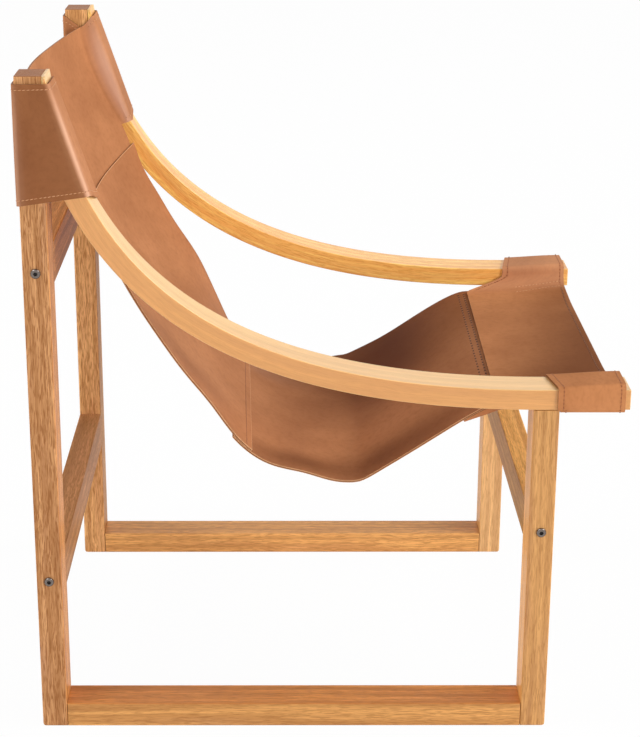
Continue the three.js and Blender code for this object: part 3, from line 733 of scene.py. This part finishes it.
def sling_point(length, across, depth):
    """A point of the hanging leather: a length from the top, -1 to 1 across, and a depth under its line."""
    belly = BACK_SAG * (1 - smooth(length, UPPER_SEAM, LOWER_SEAM)) * (1 - across * across)
    belly *= 1 + (TOP_BELLY - TOP_SKEW * across) * (1 - smooth(length, 0.0, UPPER_SEAM))
    point = sling.at(length, depth + belly - wave(length, across))
    return Vector((point.x, across * HALF_WIDTH, point.z))


print("sling: low point", [round(x, 3) for x in sling_point(LOW_LENGTH, 0, 0)])

# %% [markdown]
# ## From flat sheet to hanging panel
# Each panel starts as a flat grid, the way it was cut. Its flat measure is stored as the map that the
# leather's pattern follows. Then each crossing moves to its place in the hanging shape, and a Solidify
# modifier gives the sheet its thickness behind the grain side, with its own finish on the flesh side and
# on the cut edge.

# %% Sheet builder
EDGE_ROUND = 0.0007
EDGE_STEPS = 2
SHARP_ANGLE = math.radians(50)
GRID_HALF = 0.5
FLESH, CUT, CORNER_HIGHLIGHT = 1, 2, 3


def leather_sheet(name, points, keep=None, marks=None, grain=tan_grain):
    """A sheet over a grid of places, points[column][row], with columns from the far side to the near one."""
    columns, rows = len(points) - 1, len(points[0]) - 1
    across = measure([column[rows // 2] for column in points])
    along = measure(points[columns // 2])

    def on_grid(place):
        """Column and row of a place on the flat grid."""
        return (place.x + GRID_HALF) * columns, (place.y + GRID_HALF) * rows

    bm = bmesh.new()
    bmesh.ops.create_grid(bm, x_segments=columns, y_segments=rows, size=GRID_HALF)
    flat = bm.loops.layers.uv.new("flat")
    handling = bm.loops.layers.uv.new("handling")
    dropped = []
    for face in bm.faces:
        column, row = on_grid(face.calc_center_median())
        if keep and not keep(int(column), int(row)):
            dropped.append(face)
        for loop in face.loops:
            i, j = map(round, on_grid(loop.vert.co))
            loop[flat].uv = (across[i], along[j])
            loop[handling].uv = marks(i, j) if marks else (0.0, 0.0)
    for vert in bm.verts:
        i, j = map(round, on_grid(vert.co))
        vert.co = points[i][j]
    bmesh.ops.delete(bm, geom=dropped, context="FACES")
    area = sum(face.calc_area() for face in bm.faces)
    piece = chair_piece(name, bm, grain, tan_flesh, cut_edge, painted_corner_highlight)
    thick = piece.modifiers.new("thickness", "SOLIDIFY")
    thick.thickness = LEATHER
    thick.offset = -1.0
    thick.material_offset = FLESH
    thick.material_offset_rim = CUT
    eased = piece.modifiers.new("eased_edges", "BEVEL")
    eased.width = EDGE_ROUND
    eased.segments = EDGE_STEPS
    eased.limit_method = "ANGLE"
    eased.angle_limit = SHARP_ANGLE
    # The eased corners take the painted highlight.
    eased.material = CORNER_HIGHLIGHT
    piece.modifiers.new("even_shading", "WEIGHTED_NORMAL")
    flat_size = tuple(max(measure(line)[-1] for line in lines) for lines in (zip(*points), points))
    print("sheet:", name, "flat", [round(x, 3) for x in flat_size], "m, area", round(area, 4))
    return piece, flat_size, area


def rounded(corners, radii, straights, arc_steps):
    """Places along a line of corners in a plane, with rounded corners, in a fixed number of steps."""
    arcs = [(corners[0], corners[0], None, 0.0)]
    for before, corner, after, radius in zip(corners, corners[1:], corners[2:], radii):
        back, ahead = (before - corner).normalized(), (after - corner).normalized()
        half = back.angle(ahead) / 2
        centre = corner + (back + ahead).normalized() * (radius / math.sin(half))
        reach = radius / math.tan(half)
        arcs.append((corner + back * reach, corner + ahead * reach, centre, radius))
    arcs.append((corners[-1], corners[-1], None, 0.0))
    places = [corners[0]]
    for (_, start, _, _), (end, leave, centre, radius), steps in zip(arcs, arcs[1:], straights):
        places += [start.lerp(end, i / steps) for i in range(1, steps + 1)]
        if centre is not None:
            for i in range(1, arc_steps + 1):
                mixed = (end - centre).slerp(leave - centre, i / arc_steps)
                places.append(centre + mixed.normalized() * radius)
    return places


print("sheet builder ready: leather", LEATHER * 1000, "mm thick")

# %% [markdown]
# ## Back panel and its sleeves
# The top panel is cut wide. On each side it runs forward along the arm, wraps round the front, the outside
# and the rear of the post, and comes back along the inside to be sewn behind itself: one sheet makes the
# panel and both sleeves. A sleeve is pulled straight from its top to its bottom, so its front stands off
# the hollow of the arm. A row of the grid is one level round the post; the sleeves end higher than the
# panel, so the cells under them are dropped.

# %% Back sheet
FOLD = 0.0066
CREASE = 0.0085
PANEL_COLUMNS = 44
SLEEVE_ROWS = 26
TAIL_ROWS = 14
ARC_STEPS = 5
WING_STEPS = (7, 7, 10, 7, 3, 2)
PANEL_MARGIN = 0.022
PILLOW = 0.0016
LAP_DEPTH = 0.0033
LAP_LENGTHS = (0.09, 0.165)
RETURN_INSET = 0.002
FAR_SLEEVE_EXTRA = 0.021
FAR_FRONT_EXTRA = 0.6
FAR_SLANT = 0.006
NEAR_SLANT = 0.014
SLANT_START = 0.6
LEANED_ON = 0.12
GRIPPED = 0.60
GRIP_START = (16, 24)
GRIP_END = (33, 38)
# Painted highlights on the sleeves: column, reach and strength; then a painted shade along the crease.
FAR_HIGHLIGHTS = ((51.8, 3.0, 0.80),)
NEAR_HIGHLIGHTS = ((37.2, 2.0, 0.60), (22.0, 1.8, 0.28))
HIGHLIGHT_ROWS = (-6, 12)
CREASE_COLUMN = 57.5
CREASE_REACH = 1.0
CREASE_SHADE = 0.22


def sleeve_extra(across):
    """The sleeve on the far side was cut a little longer than the one on the near side."""
    return FAR_SLEEVE_EXTRA * (1 + across) / 2


def back_level(row, across):
    """Where one level of the back sheet lies: length down the sling and share down the sleeve."""
    share = min(row / SLEEVE_ROWS, 1.0)
    tail = max(row - SLEEVE_ROWS, 0) / TAIL_ROWS
    sleeve = SLEEVE_LENGTH + sleeve_extra(across)
    return sleeve * share + (UPPER_SEAM + LAP - sleeve) * tail, share


def back_depth(length):
    """The back panel slips behind the next panel towards their seam."""
    return LAP_DEPTH * smooth(length, *LAP_LENGTHS)


def sleeve_front(height):
    """The front of a sleeve where it touches the arm."""
    return arm_edge.at(arm_edge.length_at_height(height), -REACH)


def crease_at(row, sign):
    """Length down the sling, share down the sleeve, and where panel and sleeve meet, at one level."""
    length, share = back_level(row, sign)
    return length, share, sling.at(length, back_depth(length) - wave(length, sign))


def back_wing(row, sign):
    """Places round one sleeve at one level, from the return's end to the panel; sign 1 is the far side."""
    length, share, crease = crease_at(row, sign)
    front_end = SLEEVE_FRONT_END - FAR_FRONT_EXTRA * sleeve_extra(sign)
    front = sleeve_front(SLEEVE_TOP).lerp(sleeve_front(front_end), share)
    longer = FAR_SLANT if sign > 0 else NEAR_SLANT
    inner_x = sleeve_front(SLEEVE_TOP).lerp(sleeve_front(front_end - longer), share).x
    _, _, held = crease_at(min(row, SLEEVE_ROWS), sign)
    crease_round = min(CREASE, inner_x - held.x - FOLD - GAP)
    rear_x = BACK_X - REACH
    rear_z = SLEEVE_TOP + (SLEEVE_REAR_END - sleeve_extra(sign) - SLEEVE_TOP) * share
    inner, outer = INNER - REACH, OUTER + REACH
    return_end = Vector((crease.x - LEATHER - RETURN_INSET, inner))
    corners = [return_end, Vector((rear_x, inner)), Vector((rear_x, outer)),
               Vector((front.x, outer)), Vector((inner_x, inner)), Vector((crease.x, inner)),
               Vector((crease.x, inner - PANEL_MARGIN))]
    places = []
    for place in rounded(corners, [FOLD] * 4 + [crease_round], WING_STEPS, ARC_STEPS):
        forward = (place.x - rear_x) / (front.x - rear_x)
        near_front = smooth(forward, SLANT_START, 1.0)
        slant = longer * share * near_front * smooth(outer - place.y, 0.0, outer - inner)
        level = rear_z + (front.z - rear_z) * forward - slant
        if place.y < inner + crease_round:
            reach = inner_x - crease.x if place.x > crease.x else crease.x - rear_x
            level = crease.z + (level - crease.z) * smooth(abs(place.x - crease.x) / reach, 0.0, 1.0)
        puff = PILLOW * math.sin(math.pi * share) if place.y > outer - FOLD else 0.0
        if place.y < inner:
            panel = sling_point(length, sign * place.y / HALF_WIDTH, back_depth(length))
            if place.y > inner - crease_round:
                panel += Vector((place.x - crease.x, 0, level - crease.z))
            places.append(panel)
        else:
            places.append(Vector((place.x, sign * (place.y + puff), level)))
    return places


panel_edge = (HALF_WIDTH - PANEL_MARGIN) / HALF_WIDTH
panel_places = [panel_edge - 2 * panel_edge * i / PANEL_COLUMNS for i in range(1, PANEL_COLUMNS)]
back_rows = []
for row in range(SLEEVE_ROWS + TAIL_ROWS + 1):
    far_wing, near_wing = back_wing(row, 1), back_wing(row, -1)
    panel = []
    for across in panel_places:
        length, _ = back_level(row, across)
        panel.append(sling_point(length, across, back_depth(length)))
    back_rows.append([*far_wing, *panel, *reversed(near_wing)])
back_points = [list(column) for column in zip(*back_rows)]
panel_first = len(far_wing) - WING_STEPS[-1] - 1
panel_last = len(back_points) - 1 - panel_first


def in_back_outline(column, row):
    """True for the cells of the cut-out shape: all of the panel, and the sleeves as far as they reach."""
    return row < SLEEVE_ROWS or panel_first <= column < panel_last


def back_marks(column, row):
    """Darker where the sleeves are carried; painted shade in the crease, painted highlights on folds."""
    from_end = min(column, len(back_points) - 1 - column)
    gripped = smooth(from_end, *GRIP_START) * (1 - smooth(from_end, *GRIP_END))
    highlights = FAR_HIGHLIGHTS if column == from_end else NEAR_HIGHLIGHTS
    sleeve_highlight = sum(highlight_strength * hump(from_end, middle, reach) for middle, reach, highlight_strength in highlights)
    # Painted shade along the crease between panel and sleeve.
    crease_shade_share = CREASE_SHADE * hump(from_end, CREASE_COLUMN, CREASE_REACH)
    return LEANED_ON + (GRIPPED - LEANED_ON) * gripped + crease_shade_share, sleeve_highlight * smooth(row, *HIGHLIGHT_ROWS)


back_sheet, back_flat, back_area = leather_sheet("back_sheet", back_points, in_back_outline, back_marks)
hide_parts("back_panel")

# %% [markdown]
# ## Lower back and seat
# Both are plain rectangles of leather. The lower back panel lies on top at both of its seams, so its edges
# show as lines across the chair; the seat panel tucks under it and under the front panel.

# %% Lower back and seat sheets
SHEET_COLUMNS = 56
ROW_STEP = 0.0055
SEAM_SKEW = 0.008
EVEN_PLACES = [1 - 2 * i / SHEET_COLUMNS for i in range(SHEET_COLUMNS + 1)]
# Painted shade on the seat: a patch on the rise in front of the low fold, and a band along the near edge.
SEAT_RISE_SHADE = 0.78
RISE_LENGTHS = (0.48, 0.73)
RISE_SIDES = (-0.5, 0.5)
RISE_FADE = 0.5
FADE_LENGTHS = (0.74, 0.86)
SEAT_EDGE_SHADE = 0.34
EDGE_SHADE_PLACE = (-0.86, 0.13)
EDGE_SHADE_LENGTHS = (0.44, 0.58)
EDGE_SHADE_DIP = 0.7
EDGE_SHADE_DIP_PLACE = (0.61, 0.05)


def strip(start, end, depth, places):
    """Grid of places for a plain panel; start, end and depth may change across the panel."""
    rows = round((end(0) - start(0)) / ROW_STEP)
    points = []
    for across in places:
        lengths = [start(across) + (end(across) - start(across)) * j / rows for j in range(rows + 1)]
        points.append([sling_point(length, across, depth(length, across)) for length in lengths])
    return points


def lower_seam(across):
    """The seam above the seat runs a little askew across the chair."""
    return LOWER_SEAM - SEAM_SKEW * across


def seat_marks(column, row):
    """Painted shade: a patch on the rise in front of the low fold, and a band along the near edge."""
    across = EVEN_PLACES[column]
    length = lower_seam(across) - LAP + (seat_run + SEAM_SKEW * across) * row / (len(seat_points[0]) - 1)
    # Painted shadow on the rise, darker towards the far side.
    rise = SEAT_RISE_SHADE * smooth(length, *RISE_LENGTHS) * smooth(across, *RISE_SIDES)
    rise *= 1 - RISE_FADE * smooth(length, *FADE_LENGTHS)
    # Painted shade in a band along the near edge, deepest near the low point.
    edge_shade = SEAT_EDGE_SHADE * hump(across, *EDGE_SHADE_PLACE) * smooth(length, *EDGE_SHADE_LENGTHS)
    edge_shade *= 1 + EDGE_SHADE_DIP * hump(length, *EDGE_SHADE_DIP_PLACE)
    return min(LEANED_ON + rise + edge_shade, 1.0), 0.0


lower_points = strip(lambda across: UPPER_SEAM, lower_seam, lambda length, across: 0.0, EVEN_PLACES)
lower_sheet, lower_flat, lower_area = leather_sheet("lower_back_sheet", lower_points,
                                                    marks=lambda column, row: (LEANED_ON, 0.0))
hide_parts("lower_back_panel")
seat_run = FRONT_SEAM + 2 * LAP - LOWER_SEAM
seat_points = strip(lambda across: lower_seam(across) - LAP, lambda across: FRONT_SEAM + LAP,
                    lambda length, across: LAP_DEPTH, EVEN_PLACES)
seat_sheet, seat_flat, seat_area = leather_sheet("seat_sheet", seat_points, marks=seat_marks)
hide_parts("seat_panel")

# %% [markdown]
# ## Front panel and its loops
# The front panel is cut with a wing on each side. The wing climbs the inside of the arm, goes over the top
# and round underneath, and is sewn to itself just under the arm. The wing is narrower than the panel, so
# its rear edge sweeps up the inside of the arm in a hollow curve. The front edge is turned under.

# %% Front sheet
FRONT_CREASE = 0.016
RETURN = 0.034
RETURN_ROUND = 0.02
RETURN_START = 0.004
FRONT_PANEL_COLUMNS = 40
FRONT_ROWS = 30
HEM_RADIUS = 0.0032
HEM_RETURN = 0.020
HEM_STEPS = 4
LOOP_STEPS = (5, 6, 4, 7, 5, 2)
LOOP_REAR = front_high.x - 0.0030
UNDER_REAR = front_high.x + 0.0008
FLAP_TOP_X = front_high.x - 0.012
LOOP_LIFT = 0.0045
LIFT_RUN = 0.02
LIFT_DEPTH = 0.006
SEAM_TURN = 0.003
# Painted shade on the front panel, and a painted highlight on the far loop.
PLATE_SHADE = 0.75
PLATE_SHADE_LEVELS = (0.25, 0.80)
FAR_LOOP_HIGHLIGHT = 0.14
EDGE_HOLLOW = 0.0045
HOLLOW_REACH = 0.12
HAIR = 1e-6


def plate_height(x):
    """Height of the front panel's upper side at a place along the chair."""
    return front_seam.z + (FRONT_EDGE.z - front_seam.z) * (x - front_seam.x) / FRONT_PANEL


def loop_section(x):
    """Places round one loop across the arm at x, as (y, z), from the return's end to the panel."""
    inner, outer = INNER - REACH, OUTER + REACH
    top, bottom = ARM_TOP + REACH, ARM_TOP - ARM_THICKNESS - REACH
    plate = plate_height(x)
    corners = [Vector((inner - RETURN, plate - 2 * LEATHER - GAP)), Vector((inner + RETURN_START, bottom)),
               Vector((outer, bottom)), Vector((outer, top)), Vector((inner, top)), Vector((inner, plate)),
               Vector((inner - PANEL_MARGIN - FRONT_CREASE, plate))]
    return rounded(corners, [RETURN_ROUND] + [FOLD] * 3 + [FRONT_CREASE], LOOP_STEPS, ARC_STEPS)


section = loop_section(FRONT_EDGE.x)
loop_top = max(place.y for place in section)
halfway = len(section) // 2
inner_first = next(i for i, place in enumerate(section) if i > halfway and place.x < INNER - REACH + HAIR)


def seam_x(y):
    """Where the front panel begins; its seam is sewn a little askew."""
    return front_seam.x + SEAM_TURN * y / HALF_WIDTH


def loop_start(i, sign):
    """Where column i of a wing begins: behind the panel's seam, then up the hollow curve to the loop."""
    y, z = section[i]
    if i >= inner_first:
        climb = (z - plate_height(FRONT_EDGE.x)) / (loop_top - FOLD - plate_height(FRONT_EDGE.x))
        seam = seam_x(sign * y)
        return seam + (FLAP_TOP_X - seam) * math.sin(math.pi / 2 * clamp(climb))
    if z > loop_top - FOLD:
        return FLAP_TOP_X + (LOOP_REAR - FLAP_TOP_X) * clamp((y - INNER) / (OUTER - INNER))
    return LOOP_REAR if z > ARM_TOP - ARM_THICKNESS else UNDER_REAR


def edge_x(y):
    """Where the front panel ends; between the loops its turned edge is drawn back in a shallow hollow."""
    return FRONT_EDGE.x - EDGE_HOLLOW * smooth(INNER - abs(y), 0.0, HOLLOW_REACH)


def wing_column(i, sign):
    """One column of a wing, from its rear edge to the front edge of the chair."""
    column = []
    start = loop_start(i, sign)
    end = edge_x(section[i].x) if i >= inner_first else FRONT_EDGE.x
    for j in range(FRONT_ROWS + 1):
        x = start + (end - start) * j / FRONT_ROWS
        y, z = loop_section(x)[i]
        forward = smooth(x, LOOP_REAR - LIFT_RUN, FRONT_EDGE.x)
        lift = LOOP_LIFT * forward * smooth(z, ARM_TOP - LIFT_DEPTH, loop_top)
        column.append(Vector((x, sign * y, z + lift)))
    return column


def hem(column):
    """The turned-under front edge that follows a column of the panel."""
    edge = column[-1]
    bulge = smooth(INNER - abs(edge.y), 0.0, HOLLOW_REACH)
    turned = []
    for j in range(1, HEM_STEPS + 1):
        angle = math.pi * j / HEM_STEPS
        turned.append(edge + Vector((math.sin(angle) * bulge, 0, math.cos(angle) - 1)) * HEM_RADIUS)
    for j in range(1, HEM_STEPS + 1):
        turned.append(turned[HEM_STEPS - 1] - front_way * (HEM_RETURN * j / HEM_STEPS))
    return turned


plate_edge = INNER - REACH - FRONT_CREASE - PANEL_MARGIN
wing_columns = [wing_column(i, 1) for i in range(len(section))]
plate_columns = []
for i in range(1, FRONT_PANEL_COLUMNS):
    y = plate_edge - 2 * plate_edge * i / FRONT_PANEL_COLUMNS
    xs = [seam_x(y) + (edge_x(y) - seam_x(y)) * j / FRONT_ROWS for j in range(FRONT_ROWS + 1)]
    plate_columns.append([Vector((x, y, plate_height(x))) for x in xs])
near_columns = [wing_column(i, -1) for i in reversed(range(len(section)))]
front_points = [column + hem(column) for column in wing_columns + plate_columns + near_columns]
hem_first = len(section) - LOOP_STEPS[-1] - 1
hem_last = len(front_points) - 1 - hem_first


def in_front_outline(column, row):
    """True for the cells of the cut-out shape; only the panel between the loops has a hem."""
    return row < FRONT_ROWS or hem_first <= column < hem_last


def front_marks(column, row):
    """Painted shade towards the near front edge, kept off the loops; a painted highlight on the far loop."""
    place = front_points[column][row]
    forward = (place.x - front_seam.x) / FRONT_PANEL
    nearness = (1 - place.y / HALF_WIDTH) / 2
    off_loops = 1 - smooth(abs(place.y), plate_edge, INNER)
    loop_highlight = FAR_LOOP_HIGHLIGHT * (1 - off_loops) if place.y > 0 else 0.0
    return PLATE_SHADE * smooth((forward + nearness) / 2, *PLATE_SHADE_LEVELS) * off_loops, loop_highlight


front_sheet, front_flat, front_area = leather_sheet("front_sheet", front_points, in_front_outline,
                                                    front_marks, knee_grain)
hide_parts("front_panel")

# %% Reinforcing strip under the front seam
STRIP_REAR = 0.054
STRIP_FRONT = 0.030
STRIP_DROOP = 0.006
STRIP_TURN = 0.018
TURNED_PLACES = (1.0, 0.998, 0.995, 0.991, 0.986, 0.982)
STRIP_GAP = 0.0004
SEAT_UNDERSIDE = LAP_DEPTH + LEATHER + STRIP_GAP


def strip_depth(length, across):
    """The strip droops between its two rows of sewing, and its ends turn up to the seat's underside."""
    share = (length - FRONT_SEAM + STRIP_REAR) / (STRIP_REAR + STRIP_FRONT)
    droop = LEATHER + STRIP_DROOP * math.sin(math.pi * clamp(share))
    inside = min((1 - abs(across)) / STRIP_TURN, 1.0)
    return SEAT_UNDERSIDE + droop * math.sqrt(inside * (2 - inside))


strip_places = [*TURNED_PLACES, *EVEN_PLACES[1:-1], *(-place for place in reversed(TURNED_PLACES))]
strip_points = strip(lambda across: FRONT_SEAM - STRIP_REAR, lambda across: FRONT_SEAM + STRIP_FRONT,
                     strip_depth, strip_places)
strip_points.reverse()
strip_sheet, strip_flat, strip_area = leather_sheet("front_seam_strip", strip_points)
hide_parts("front_panel")

# %% [markdown]
# ## Sewing
# Waxed thread goes through the leather in even steps: each stitch lies on top as a small plump grain that
# leans a little, and dips into a needle hole at both ends, painted dark for the shade inside it. A stitch is
# a stretched ball of a few dozen faces, so hundreds of them stay light. Every row is drawn on the grid of
# its sheet, so it follows each bend. Where the thread is pulled deep into the leather, only the holes catch
# the eye.

# %% Stitch builder
STITCH_PITCH = 0.0052
STITCH_SIZE = Vector((0.0010, 0.0008, 0.0042))
HOLE_SIZE = Vector((0.0011, 0.0003, 0.0015))
DEEP_STITCH_SIZE = Vector((0.0009, 0.0004, 0.0032))
DEEP_HOLE_SIZE = Vector((0.0021, 0.0006, 0.0027))
STITCH_LEAN = math.radians(7)
THREAD_TWIST = 0.0012
STEPS_PER_CELL = 10
BALL_SEGMENTS = 6
BALL_RINGS = 4
BALL_RADIUS = 0.5

# Waxed linen: a pale twist, satin from the wax.
thread = speckled("waxed_linen_thread", "#D2A075", "#B98355", THREAD_TWIST, Roughness=0.55)
# Needle hole: the leather's own colour, burnished and in shade.
needle_hole = speckled("needle_hole", "#885030", "#965B38", THREAD_TWIST, Roughness=0.8)
# Needle hole under the sitter's weight: pulled open and painted deep brown, the painted shade inside it.
open_hole = speckled("open_needle_hole", "#35190B", "#482512", THREAD_TWIST, Roughness=0.9)
# Thread pulled in deep: dyed by the oil in the leather.
deep_thread = speckled("oiled_linen_thread", "#9A5F38", "#84502D", THREAD_TWIST, Roughness=0.6)


def sewing_line(points, way):
    """Places and outward directions, close together, along a way of (column, row) pairs on a sheet's grid."""
    line = []
    for (first_column, first_row), (last_column, last_row) in zip(way, way[1:]):
        cells = max(abs(last_column - first_column), abs(last_row - first_row))
        steps = max(2, round(STEPS_PER_CELL * cells))
        for k in range(steps):
            column = first_column + (last_column - first_column) * k / steps
            row = first_row + (last_row - first_row) * k / steps
            i, j = min(int(column), len(points) - 2), min(int(row), len(points[0]) - 2)
            left = points[i][j].lerp(points[i][j + 1], row - j)
            right = points[i + 1][j].lerp(points[i + 1][j + 1], row - j)
            out = (right - left).cross(points[i][j + 1] - points[i][j]).normalized()
            line.append((left.lerp(right, column - i), out))
    return line


def ball(finish):
    """A ball of a few dozen faces in one of the sewing's finishes, to be stretched into stitches or holes."""
    bm = bmesh.new()
    bmesh.ops.create_uvsphere(bm, u_segments=BALL_SEGMENTS, v_segments=BALL_RINGS, radius=BALL_RADIUS)
    for face in bm.faces:
        face.material_index = finish
    mesh = bpy.data.meshes.new("ball")
    bm.to_mesh(mesh)
    bm.free()
    return mesh


def lay_grain(bm, round_grain, place, out, ahead, size):
    """A stretched ball on the leather, given by its width, height and length, which points ahead."""
    axes = Matrix((out.cross(ahead) * size.x, out * size.y, ahead * size.z)).transposed().to_4x4()
    grain = round_grain.copy()
    grain.transform(Matrix.Translation(place) @ axes)
    bm.from_mesh(grain)
    bpy.data.meshes.remove(grain)


def sew(name, points, ways, deep_ways=(), hole_finish=needle_hole, coarse=1.0):
    """Sewing on one sheet: rows of raised stitches, and rows that are pulled in deep."""
    bm = bmesh.new()
    thread_ball, hole_ball, deep_ball = ball(0), ball(1), ball(2)
    count = 0
    pitch = STITCH_PITCH * coarse
    swell = math.sqrt(coarse)
    for way in [*ways, *deep_ways]:
        deep = way in deep_ways
        walked = pitch / 2
        line = sewing_line(points, way)
        for (first, out), (second, _) in zip(line, line[1:]):
            walked += (second - first).length
            if walked >= pitch:
                walked -= pitch
                count += 1
                ahead = (second - first).normalized()
                leaning = Matrix.Rotation(STITCH_LEAN, 3, out) @ ahead
                hole = second + ahead * (pitch / 2)
                if deep:
                    lay_grain(bm, deep_ball, second, out, leaning, DEEP_STITCH_SIZE * swell)
                    lay_grain(bm, hole_ball, hole, out, ahead, DEEP_HOLE_SIZE * swell)
                else:
                    lay_grain(bm, thread_ball, second, out, leaning, STITCH_SIZE)
                    lay_grain(bm, hole_ball, hole, out, ahead, HOLE_SIZE)
    piece = chair_piece(name, bm, thread, hole_finish, deep_thread)
    for mesh in (thread_ball, hole_ball, deep_ball):
        bpy.data.meshes.remove(mesh)
    print("sewing:", name, count, "stitches")
    return piece


print("sewing: one stitch every", STITCH_PITCH * 1000, "mm")

# %% Sew the sheets
SLEEVE_HEM = 1.2
PANEL_HEM = 1.65
SEAM_END = 0.6
FRONT_HEM = 0.0058
LOOP_FIRST = 6
LOOP_HEM_ROW = 2.5
SEAT_ROWS = (0.0050, 0.0135)
SEAT_COARSE = 2.1
HEM_COARSE = 1.4
CLOSING_X = 0.290
CLOSING_COLUMNS = ((50.8, 49.4), (53.4, 51.5))


def row_at(column, x):
    """The row of the front sheet's grid at a place along the chair."""
    start, end = front_points[column][0].x, front_points[column][FRONT_ROWS].x
    return FRONT_ROWS * (x - start) / (end - start)


def both_sides(way, columns):
    """A way on the far wing and the same way on the near wing."""
    return [way, [(columns - 1 - column, row) for column, row in way]]


sleeve_end = panel_first - ARC_STEPS
back_ways = []
for row in (SLEEVE_HEM, SLEEVE_ROWS - SLEEVE_HEM):
    back_ways += both_sides([(1, row), (sleeve_end, row)], len(back_points))
back_sewing = sew("back_sewing", back_points, back_ways)

seam_row = len(lower_points[0]) - 1 - PANEL_HEM
seam_way = [(SEAM_END, seam_row), (SHEET_COLUMNS - SEAM_END, seam_row)]
lower_sewing = sew("lower_back_sewing", lower_points, [], [seam_way])

seat_ways = []
seat_rows = len(seat_points[0]) - 1
for behind in SEAT_ROWS:
    row = seat_rows * (1 - (LAP + behind) / seat_run)
    turn = seat_rows * SEAM_TURN / seat_run
    seat_ways.append([(SEAM_END, row + turn), (SHEET_COLUMNS - SEAM_END, row - turn)])
seat_sewing = sew("seat_sewing", seat_points, [], seat_ways, open_hole, SEAT_COARSE)

hem_x = FRONT_EDGE.x - FRONT_HEM
loop_columns = range(LOOP_FIRST, hem_first)
deep_ways = both_sides([(c, row_at(c, hem_x)) for c in loop_columns], len(front_points))
deep_ways += both_sides([(c, LOOP_HEM_ROW) for c in loop_columns], len(front_points))
front_ways = []
for first, last in CLOSING_COLUMNS:
    way = [(first, row_at(round(first), CLOSING_X)), (last, row_at(round(last), hem_x))]
    front_ways += both_sides(way, len(front_points))
front_sewing = sew("front_sewing", front_points, front_ways, deep_ways)
hem_row = FRONT_ROWS * (1 - FRONT_HEM / FRONT_PANEL)
hem_way = [(c, hem_row) for c in range(hem_first, hem_last + 1)]
hem_sewing = sew("front_hem_sewing", front_points, [], [hem_way], open_hole, HEM_COARSE)
